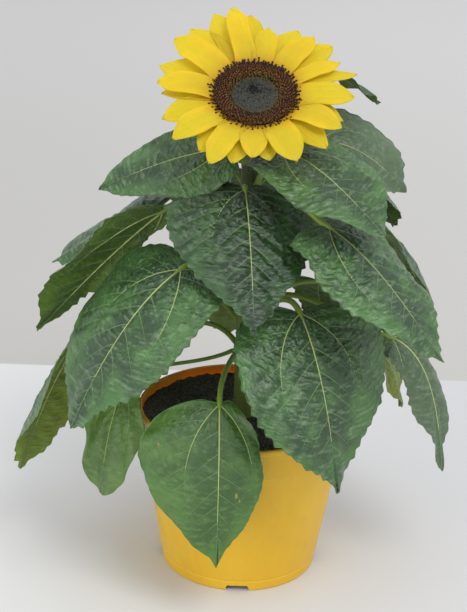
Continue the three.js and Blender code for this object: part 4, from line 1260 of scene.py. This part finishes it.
def make_hairs():
    """Short stiff hairs along the stem and the stalks."""
    shape = Shape()
    height = chance.uniform(SOIL_LEVEL + 6, neck[2] - 2, 2400)
    angle = chance.uniform(0, 2 * math.pi, len(height))
    outward = np.stack([np.cos(angle), np.sin(angle), 0 * angle], -1)
    places = stem_axis(height) + outward * (stem_radius(height) - 0.1)[:, None]
    lengths = chance.uniform(0.7, 1.7, len(height))
    leans = outward + chance.normal(0, 0.25, places.shape)
    scatter(shape, HAIR, HAIR_FACES, places, axes_along(leans, lengths))
    for name, line in stalks.items():
        _, sides, others = carried_frames(line)
        pick = chance.integers(3, len(line) - 2, 90)
        angle = chance.uniform(0, 2 * math.pi, (90, 1))
        outward = sides[pick] * np.cos(angle) + others[pick] * np.sin(angle)
        mix = chance.random((90, 1))
        start = line[pick] * mix + line[pick + 1] * (1 - mix)
        places = start + outward * (STALK_SHARE * LEAVES[name]["long"] - 0.15)
        lean = outward + chance.normal(0, 0.25, places.shape)
        scatter(shape, HAIR, HAIR_FACES, places, axes_along(lean, chance.uniform(0.6, 1.3, 90)))
    return shape.piece("stem_hairs", "stem", [], HAIR_SKIN)


stem, hairs = make_stem(), make_hairs()
print("stem:", triangles_of(stem), "triangles, hairs:", triangles_of(hairs))

# %% [markdown]
# ## Petals
#
# What looks like one flower is a head of hundreds. The yellow petals are the outer ring of them, thin
# tongues in two whorls. Each is ribbed along its length, troughed, a little twisted, and orange near its
# foot. They are strips of points like the leaves, with seeded differences, because a copied petal shows.
# Most are a little wider here than in the construction model, where they have to keep clear of each other,
# so neighbours overlap. Some also stand a few degrees round.

# %% Petals: finish and table
def petal_skin(name, main, warm, foot):
    """Satin yellow: faint streaks along the petal, and orange where it leaves the head."""
    finish = Finish(name, Specular_IOR_Level=0.2, Subsurface_Weight=0.6, Subsurface_Scale=0.006)
    finish.shader.inputs["Subsurface Radius"].default_value = (1.0, 0.75, 0.2)
    marks = finish.marks()
    streaks = finish.noise(finish.scaled(marks, (1.0, 0.06, 1.0)), 0.9, 3.0)
    soft = finish.noise(finish.here(), 7, 2.0)
    base = finish.mix(finish.between(streaks * 0.45 + soft * 0.55, 0.35, 0.68), main, warm)
    from_foot = finish.part(marks, 1) * (1 / MM)
    finish.set(Base_Color=finish.mix(finish.between(from_foot + 9 * streaks, 13.5, 2.0) * 0.8, base, foot))
    finish.set(Roughness=0.5 + 0.2 * streaks)
    finish.set(Normal=finish.bump(streaks, 0.12, 0.5))
    return finish


PETAL_SKIN = petal_skin("petal_skin", colour(233, 188, 34), colour(228, 180, 29), colour(216, 146, 20))
PETAL = SimpleNamespace(widest_at=0.5, thickness=0.34, trough=18.0, tuck=2.4)
WHORLS = {  # petals as (direction round the face, distance of the tip from the middle, width)
    "front": dict(
        height=1.9, lift=17, droop=-16, foot_share=0.95,
        petals=[(0, 55, 16), (335, 53, 16), (297, 53, 18), (270, 46, 14.5), (246, 56, 15), (218, 56, 17),
                (174, 55, 16), (140, 61, 17.5), (103, 66, 13), (82, 51, 13), (54, 56, 14.5), (28, 54, 9.5)],
    ),
    "back": dict(
        height=0.8, lift=2, droop=-16, foot_share=0.9,
        petals=[(345, 51, 15), (321, 52, 16), (281, 45, 13), (256, 48, 14), (234, 49, 14), (198, 53, 16),
                (178, 52, 14), (156, 59, 17), (126, 65, 17), (110, 72, 17), (94, 66, 15), (67, 59, 16),
                (45, 61, 16), (22, 62, 10)],
    ),
}


# %% [markdown]
# A petal bends along its length, so its middle line comes first, and its width is laid across that line.
# Bracts use the same line further on.

# %% Petals: mesh
def ray_line(direction, radius, height, length, lift, droop, rows, tuck=0.0):
    """The middle line of a petal or bract in the head's frame, and its outward, across and normal.

    tuck carries the line inward past its foot, so that the foot is hidden."""
    heading = math.radians(direction)
    outward = np.array([math.cos(heading), math.sin(heading), 0])
    across = np.array([-math.sin(heading), math.cos(heading), 0])
    share = np.linspace(-tuck / length, 1, rows)
    slope = np.radians(lift + (droop - lift) * np.maximum(share, 0))
    ahead = np.cos(slope)[:, None] * outward + np.sin(slope)[:, None] * [0, 0, 1]
    steps = (ahead[1:] + ahead[:-1]) / 2 * length * (share[1] - share[0])
    line = outward * radius + [0, 0, height] - ahead[0] * tuck + np.vstack([np.zeros(3), np.cumsum(steps, 0)])
    normal = np.cos(slope)[:, None] * [0, 0, 1] - np.sin(slope)[:, None] * outward
    return share, line, across, normal


def add_strip(shape, middle, normal, thickness, finish=0, marks=None):
    """A closed sheet from a net of points, with half the thickness on each side of it."""
    offset = (normal * thickness / 2).reshape(-1, 3)
    flat = middle.reshape(-1, 3)
    both = None if marks is None else np.concatenate([marks, marks])
    shape.add(np.concatenate([flat + offset, flat - offset]), sheet_faces(*middle.shape[:2]), finish, both)


def net_normals(net):
    return unit(np.cross(np.gradient(net, axis=0), np.gradient(net, axis=1)))


def petal_width(share, foot_share):
    """Width along a petal as a share of its widest: a strap that narrows to a blunt point."""
    near = 1 - (1 - foot_share) * (1 - np.clip(share, 0, PETAL.widest_at) / PETAL.widest_at) ** 2
    past = np.clip((share - PETAL.widest_at) / (1 - PETAL.widest_at), 0, 1)
    return near * np.cos(math.pi / 2 * past ** 1.15) ** 0.8


def make_petal(name, replaced, direction, reach, wide, whorl):
    rows, columns = 46, 21
    length = 1.03 * (reach - HEAD.seat)
    share, line, across, normal = ray_line(
        direction, HEAD.seat, whorl["height"], length, whorl["lift"], whorl["droop"], rows, PETAL.tuck)
    out = np.maximum(share, 0)
    half = ((wide * petal_width(share, whorl["foot_share"]) + 0.9 * out) / 2)[:, None]
    u = np.linspace(-1, 1, columns)
    seed = direction * 0.37
    depth = half * math.tan(math.radians(PETAL.trough))
    depth = depth * np.sin(math.pi * np.minimum(1, out + 0.1))[:, None] / 2
    sway = chance.normal(0, 0.7) * np.sin(math.pi * out / 2)[:, None] ** 2
    twist = chance.normal(0, 0.12) * out[:, None] ** 1.5
    groove = np.exp(-((np.abs(u) - 0.34) / 0.11) ** 2) + 0.6 * np.exp(-((np.abs(u) - 0.72) / 0.1) ** 2)
    grooves = 0.2 * (groove * np.sin(math.pi * np.clip(out, 0.06, 0.9))[:, None] ** 0.7)
    buckle = 0.6 * swell(share[:, None] * 2.6, u[None] * 1.4 + 30, seed) * (0.3 + np.abs(u)[None])
    edge_curl = chance.uniform(-0.9, 1.1) * (np.abs(u)[None] ** 3) * out[:, None]
    nick = 0.35 * swell(share[:, None] * 6, np.sign(u)[None] * 5 + 30, seed) * np.abs(u)[None] ** 6
    aside = half * u[None] + sway + nick
    rise = depth * u[None] ** 2 + aside * np.sin(twist) - grooves + buckle * out[:, None] + edge_curl
    net = line[:, None] + across * (aside * np.cos(twist))[..., None] + normal[:, None] * rise[..., None]
    tips = 0.5 * swell(u * 2.2 + 9, u * 0 + seed) + 0.35 * np.cos(u * 7 + seed)
    ahead = unit(np.gradient(line, axis=0))
    net = net + ahead[:, None] * (tips[None] * out[:, None] ** 9)[..., None]
    marks = np.stack([aside * MM, np.broadcast_to(share[:, None] * length * MM, aside.shape),
                      np.full(aside.shape, direction * MM)], -1).reshape(-1, 3)
    shape = Shape()
    # The net's rows run outward and its columns anticlockwise, so its own normal is out of the face.
    add_strip(shape, on_head(net), net_normals(on_head(net)), PETAL.thickness, 0, marks)
    return shape.piece(name, "petal", replaced, PETAL_SKIN)


petal_pieces = [
    make_petal(f"{whorl_name}_petal_{k + 1}", [f"petal_{whorl_name}_{k + 1}"], *petal, whorl)
    for whorl_name, whorl in WHORLS.items()
    for k, petal in enumerate(whorl["petals"])
]
print(len(petal_pieces), "petals,", sum(map(triangles_of, petal_pieces)), "triangles")

# %% [markdown]
# ## Head and bracts
#
# Behind the face is a green cup, and overlapping rows of pointed, hairy bracts close round it. They show
# from beside and behind, and between the petals. Three rows of them, each turned half a step, hide the cup
# as they do on the plant.

# %% Head and bracts
# Its third colour is the painted highlight on the wrinkles' backs, as on the leaves.
BRACT_SKIN = leaf_skin("bract_skin", (74, 100, 44), (104, 128, 62), (128, 146, 92), 0.5, 0.3)
PETAL_FOOT = vein_skin("petal_foot", colour(206, 140, 22), colour(176, 106, 20))
# Each row's start from the axis, height, length, width, lift and droop, and how many bracts it has.
BRACT_ROWS = ((20.0, -6.5, 20.0, 11.0, -14.0, -26.0, 13), (17.0, -8.5, 17.0, 10.0, -6.0, -30.0, 13),
              (12.0, -12.0, 13.0, 8.0, 4.0, -26.0, 11))


def make_head():
    shape = Shape()
    profile = rounded([
        (0.2, -HEAD.depth, 0), (5, -HEAD.depth, 1.5), (9, -HEAD.depth + 2.5, 1.5), (17, -HEAD.depth + 6, 2),
        (25, -HEAD.depth + 11, 2), (HEAD.rim, -1.6, 1), (HEAD.rim, 0, 0.8), (20, 0, 0), (0.2, 0, 0),
    ])
    segments = 72
    rings = turned(profile, segments)
    under_petals = np.repeat(profile[:-1, 1] > -1.5, segments).astype(int)
    shape.add(on_head(rings.reshape(-1, 3)), grid_faces(len(rings), segments, closed=True), under_petals)
    fan = fan_faces(segments)
    for row, faces in ((0, turned_over(fan)), (len(rings) - 1, fan)):
        shape.add(on_head(np.vstack([rings[row], [0, 0, rings[row, 0, 2]]])), faces)
    u = np.linspace(-1, 1, 9)
    for row, (start, height, length, wide, lift, droop, count) in enumerate(BRACT_ROWS):
        for k in range(count):
            long = length * (1 + 0.12 * math.sin(2.4 * k + row))
            share, line, across, normal = ray_line(
                360 * (k + 0.5 * (row + 1)) / count, start, height, long, lift, droop, 18)
            half = (wide * np.sin(math.pi * (0.25 + 0.745 * share)) + 0.3)[:, None] / 2
            crest = 0.5 * np.exp(-(u / 0.16) ** 2)[None] * (1 - share)[:, None]
            rise = -half * 0.35 * u[None] ** 2 - crest + 0.4 * swell(share[:, None] * 3 + k, u[None] * 2, row)
            net = line[:, None] + across * (half * u[None])[..., None] + normal[:, None] * rise[..., None]
            add_strip(shape, on_head(net), net_normals(on_head(net)), 0.5)
    return shape.piece("head_and_bracts", "bract", ["receptacle"], BRACT_SKIN, PETAL_FOOT)


head = make_head()
print("head and bracts:", triangles_of(head), "triangles")

# %% [markdown]
# ## Disc florets
#
# The dark disc is a spiral of small florets, each turned from the last by the golden angle. The outer ones
# are open: a five-lobed tube with a dark column standing out of it. Those just inside are opening and show
# gold. The middle is still closed buds, grey-green and set low. One template of each kind is dealt out along
# the spiral, with its own lean and height, so nothing is left to a particle system.

# %% Disc: finishes and templates
def floret_skin(name, dark, light, roughness=0.55):
    finish = Finish(name, Specular_IOR_Level=0.35)
    grain = finish.noise(finish.here(), 1.1, 3.0)
    finish.set(Base_Color=finish.mix(finish.between(grain, 0.35, 0.65), dark, light))
    finish.set(Roughness=roughness + 0.2 * grain, Normal=finish.bump(grain, 0.15, 0.6))
    return finish


FLORET_SKINS = [
    floret_skin("floret_tube", colour(110, 68, 26), colour(156, 108, 44)),
    floret_skin("floret_dark", colour(34, 12, 18), colour(58, 24, 22)),
    floret_skin("floret_gold", colour(74, 62, 30), colour(112, 96, 50)),
    floret_skin("bud_grey", colour(62, 63, 58), colour(88, 88, 78), 0.45),
    floret_skin("bud_dark", colour(30, 27, 30), colour(46, 42, 44), 0.5),
]


def revolved(profile, sides):
    """A small template turned about Z from (radius, height) pairs, open at the foot."""
    rings = turned(np.array(profile, float), sides)
    faces = grid_faces(len(rings), sides, closed=True)
    return rings.reshape(-1, 3), faces


TUBE = revolved([(0.1, 0), (0.5, 0.3), (0.6, 2.9), (0.86, 3.7), (0.66, 3.9), (0.1, 3.6)], 5)
COLUMN = revolved([(0.26, 2.4), (0.3, 4.0), (0.54, 4.6), (0.5, 5.1), (0.03, 5.4)], 6)
BUD = revolved([(0.5, 0), (0.56, 0.7), (0.36, 1.25), (0.03, 1.5)], 5)


# %% [markdown]
# Florets are placed by their tips, because the tips make the disc's surface: a raised ring round a low
# middle.

# %% Disc: deal the florets out along the spiral
DIMPLE = np.array([-1.3, 4.6, 0.0])


def disc_height(r):
    """How high the tips stand over the face: a raised ring round a low middle."""
    return np.interp(r, [0, 5, 9, 12.2, 13.4, 15.5, 18, 21, 23.5, 25.2],
                     [0.9, 1.3, 1.5, 1.3, 1.7, 3.4, 4.9, 4.8, 3.8, 2.4])


def spiral(count, reach):
    k = np.arange(count) + 0.5
    r, turn = reach * np.sqrt(k / count), k * math.radians(137.508)
    return r, np.stack([np.cos(turn), np.sin(turn), 0 * turn], -1)


def make_disc():
    shape = Shape()
    r, outward = spiral(760, HEAD.disc)
    keep = r > HEAD.centre_radius + 0.3
    r, outward = r[keep], outward[keep]
    lean = np.interp(r, [13, 18, 25], [-12, 6, 50]) + chance.normal(0, 8, len(r))
    axis = unit(np.array([0, 0, 1.0]) * np.cos(np.radians(lean))[:, None]
                + outward * np.sin(np.radians(lean))[:, None] + chance.normal(0, 0.13, (len(r), 3)))
    size = np.interp(r, [13, 15, 18, 25], [0.6, 0.78, 1.0, 0.98]) * chance.uniform(0.86, 1.12, len(r))
    tips = outward * np.minimum(r, 23.4)[:, None] + np.array([0, 0, 1]) * disc_height(r)[:, None]
    places = tips - axis * (size * 5.0)[:, None]
    world_axis, world_places = on_head(axis) - HEAD.centre, on_head(places)
    axes = axes_along(world_axis, size)
    opening = r + chance.normal(0, 0.8, len(r)) < 15.6
    scatter(shape, *TUBE, world_places[~opening], axes[~opening], 0)
    scatter(shape, *TUBE, world_places[opening], axes[opening], 2)
    scatter(shape, *COLUMN, world_places[~opening], axes[~opening], 1)
    scatter(shape, *COLUMN, world_places[opening], axes[opening] * (0.8, 0.8, 1.0), 2)
    gold = (~opening) & (chance.random(len(r)) < np.interp(r, [16, 20, 25], [0.4, 0.16, 0.02]))
    sunk = on_head(tips[gold] - [0, 0, 0.6])
    scatter(shape, *BUD, sunk, axes_along(world_axis[gold], 0.62 * size[gold]), 2)
    add_rim_florets(shape)
    bed = turned(np.array([[12.8, 0.3], [18, 0.9], [23.6, 0.3]]), 48)
    shape.add(on_head(bed.reshape(-1, 3)), grid_faces(len(bed), 48, closed=True)[:, ::-1], 1)
    return shape.piece("disc_florets", "floret", ["florets"], *FLORET_SKINS)


def add_rim_florets(shape):
    """The oldest florets lean right out over the petals, each apart from its neighbours."""
    for count, reach, height, tilt in ((58, 25.9, 2.6, 66), (62, 24.5, 3.4, 50)):
        turn = 2 * math.pi * (np.arange(count) + chance.uniform(-0.32, 0.32, count)) / count
        outward = np.stack([np.cos(turn), np.sin(turn), 0 * turn], -1)
        lean = np.radians(tilt + chance.normal(0, 9, count))
        axis = unit(np.array([0, 0, 1.0]) * np.cos(lean)[:, None] + outward * np.sin(lean)[:, None]
                    + chance.normal(0, 0.1, (count, 3)))
        tips = outward * (reach + chance.normal(0, 0.6, count))[:, None] + [0, 0, height]
        axes = axes_along(on_head(axis) - HEAD.centre, chance.uniform(0.95, 1.15, count))
        scatter(shape, *COLUMN, on_head(tips - 5.2 * axis), axes, 1)


def make_centre():
    """The closed middle: fine grey buds, a rim about to open, and a dark dimple drawn in to one side."""
    shape = Shape()
    r, outward = spiral(1250, HEAD.centre_radius + 0.3)
    flat = outward * r[:, None]
    from_dimple = np.linalg.norm(flat - DIMPLE, axis=-1)
    turn = np.arctan2(*(flat - DIMPLE)[:, 1::-1].T)
    height = disc_height(r) - 0.7 - 0.9 * np.exp(-(from_dimple / 2.6) ** 2)
    base = flat + np.array([0, 0, 1]) * height[:, None]
    axis = unit(np.array([0, 0, 1.0]) - (flat - DIMPLE) / 40 + chance.normal(0, 0.06, (len(r), 3)))
    axes = axes_along(on_head(axis) - HEAD.centre, chance.uniform(0.58, 0.8, len(r)))
    streak = 2.6 + 2.8 * np.maximum(0, swell(turn * 2.6 + 20, turn * 0 + 3.5, 2))
    streak = streak + chance.normal(0, 0.5, len(r))
    dark = (from_dimple < 1.15 * streak) | (chance.random(len(r)) < 0.14)
    rim = r > 12.4 + chance.normal(0, 0.4, len(r))
    for which, finish in ((~dark & ~rim, 3), (dark & ~rim, 4), (rim, 2)):
        scatter(shape, *BUD, on_head(base[which]), axes[which], finish)
    bed = np.array([[0.02, 0.2], [8, 0.25], [12.6, 0.3], [13.2, 0.5]])
    rings = turned(bed, 48)
    shape.add(on_head(rings.reshape(-1, 3)), grid_faces(len(rings), 48, closed=True)[:, ::-1], 4)
    return shape.piece("disc_centre", "centre", ["flower_centre"], *FLORET_SKINS)


disc, centre = make_disc(), make_centre()
print("disc:", triangles_of(disc), "+", triangles_of(centre), "triangles")

# %% [markdown]
# ## Floor and light
#
# The camera looks down, so one flat sheet fills the whole picture: a pale table top up to its edge behind the
# plant, and grey-white paper beyond it. Both carry painted light: the table is painted lighter on the left
# and darker on the right to even out the lamps' light on it, and the paper is painted darker near the table's
# edge and on the left, as painted shade at the foot of the backdrop. A standing wall would do the same from
# the front, but it would hide the plant from behind. One soft lamp high on the right gives the leaves their
# form, a wide low one on the left opens the shadows, and the sky is a plain pale grey.

# %% Floor
TABLE_EDGE = 0.285  # metres behind the middle of the pot
FLOOR_WIDTH = 12.0  # metres


def make_floor():
    finish = Finish("pale_sheet_painted_light", Roughness=0.9, Specular_IOR_Level=0.2)
    place = finish.here()
    across = finish.part(place, 0)
    behind = finish.part(place, 1)
    # Painted light: the table is lighter on the left and darker on the right, to even out the lamps' light on
    # it.
    table = finish.mix(finish.between(across, -0.2, 0.2), colour(227, 226, 224), colour(215, 214, 214))
    # Painted shade: the paper is darker near the table's edge and on the left, lighter far off and on the
    # right.
    far = finish.between(behind, 0.3, 1.7)
    left = finish.mix(far, colour(197, 194, 189), colour(215, 212, 209))
    right = finish.mix(far, colour(205, 202, 197), colour(223, 220, 217))
    paper = finish.mix(finish.between(across, -0.4, 0.4), left, right)
    finish.set(Base_Color=finish.mix(finish.between(behind, TABLE_EDGE, TABLE_EDGE + 0.003), table, paper))
    mesh = bpy.data.meshes.new("floor")
    half = FLOOR_WIDTH / 2
    corners = [(-half, -half, 0), (half, -half, 0), (half, half, 0), (-half, half, 0)]
    mesh.from_pydata(corners, [], [(0, 1, 2, 3)])
    mesh.materials.append(finish.material)
    floor = in_scene("floor", mesh)
    return floor


floor = make_floor()
print("floor:", floor.name, "with its edge at", TABLE_EDGE, "m")


# %% [markdown]
# Large round lamps give soft shadows. Small ones would cut hard edges into every pucker.

# %% Lamps and sky
def soft_lamp(name, place, aim, size, watts):
    """A round lamp of this width in metres, turned to face its aim."""
    lamp = in_scene(name, bpy.data.lights.new(name, "AREA"))
    lamp.data.shape, lamp.data.size, lamp.data.energy = "DISK", size, watts
    lamp.location = place
    lamp.rotation_euler = (Vector(aim) - Vector(place)).to_track_quat("-Z", "Y").to_euler()


plant_middle = (cad_box[0] + cad_box[1]) / 2
soft_lamp("key", (0.6, -1.15, 1.8), plant_middle, 0.95, 18)
soft_lamp("fill", (-1.3, -1.4, 0.7), plant_middle, 1.4, 8)
sky = bpy.data.worlds.new("sky")
sky.use_nodes = True
sky.node_tree.nodes["Background"].inputs[0].default_value = (0.93, 0.96, 1.0, 1)
sky.node_tree.nodes["Background"].inputs[1].default_value = 0.86
bpy.context.scene.world = sky
bpy.context.scene.view_settings.view_transform = "Standard"
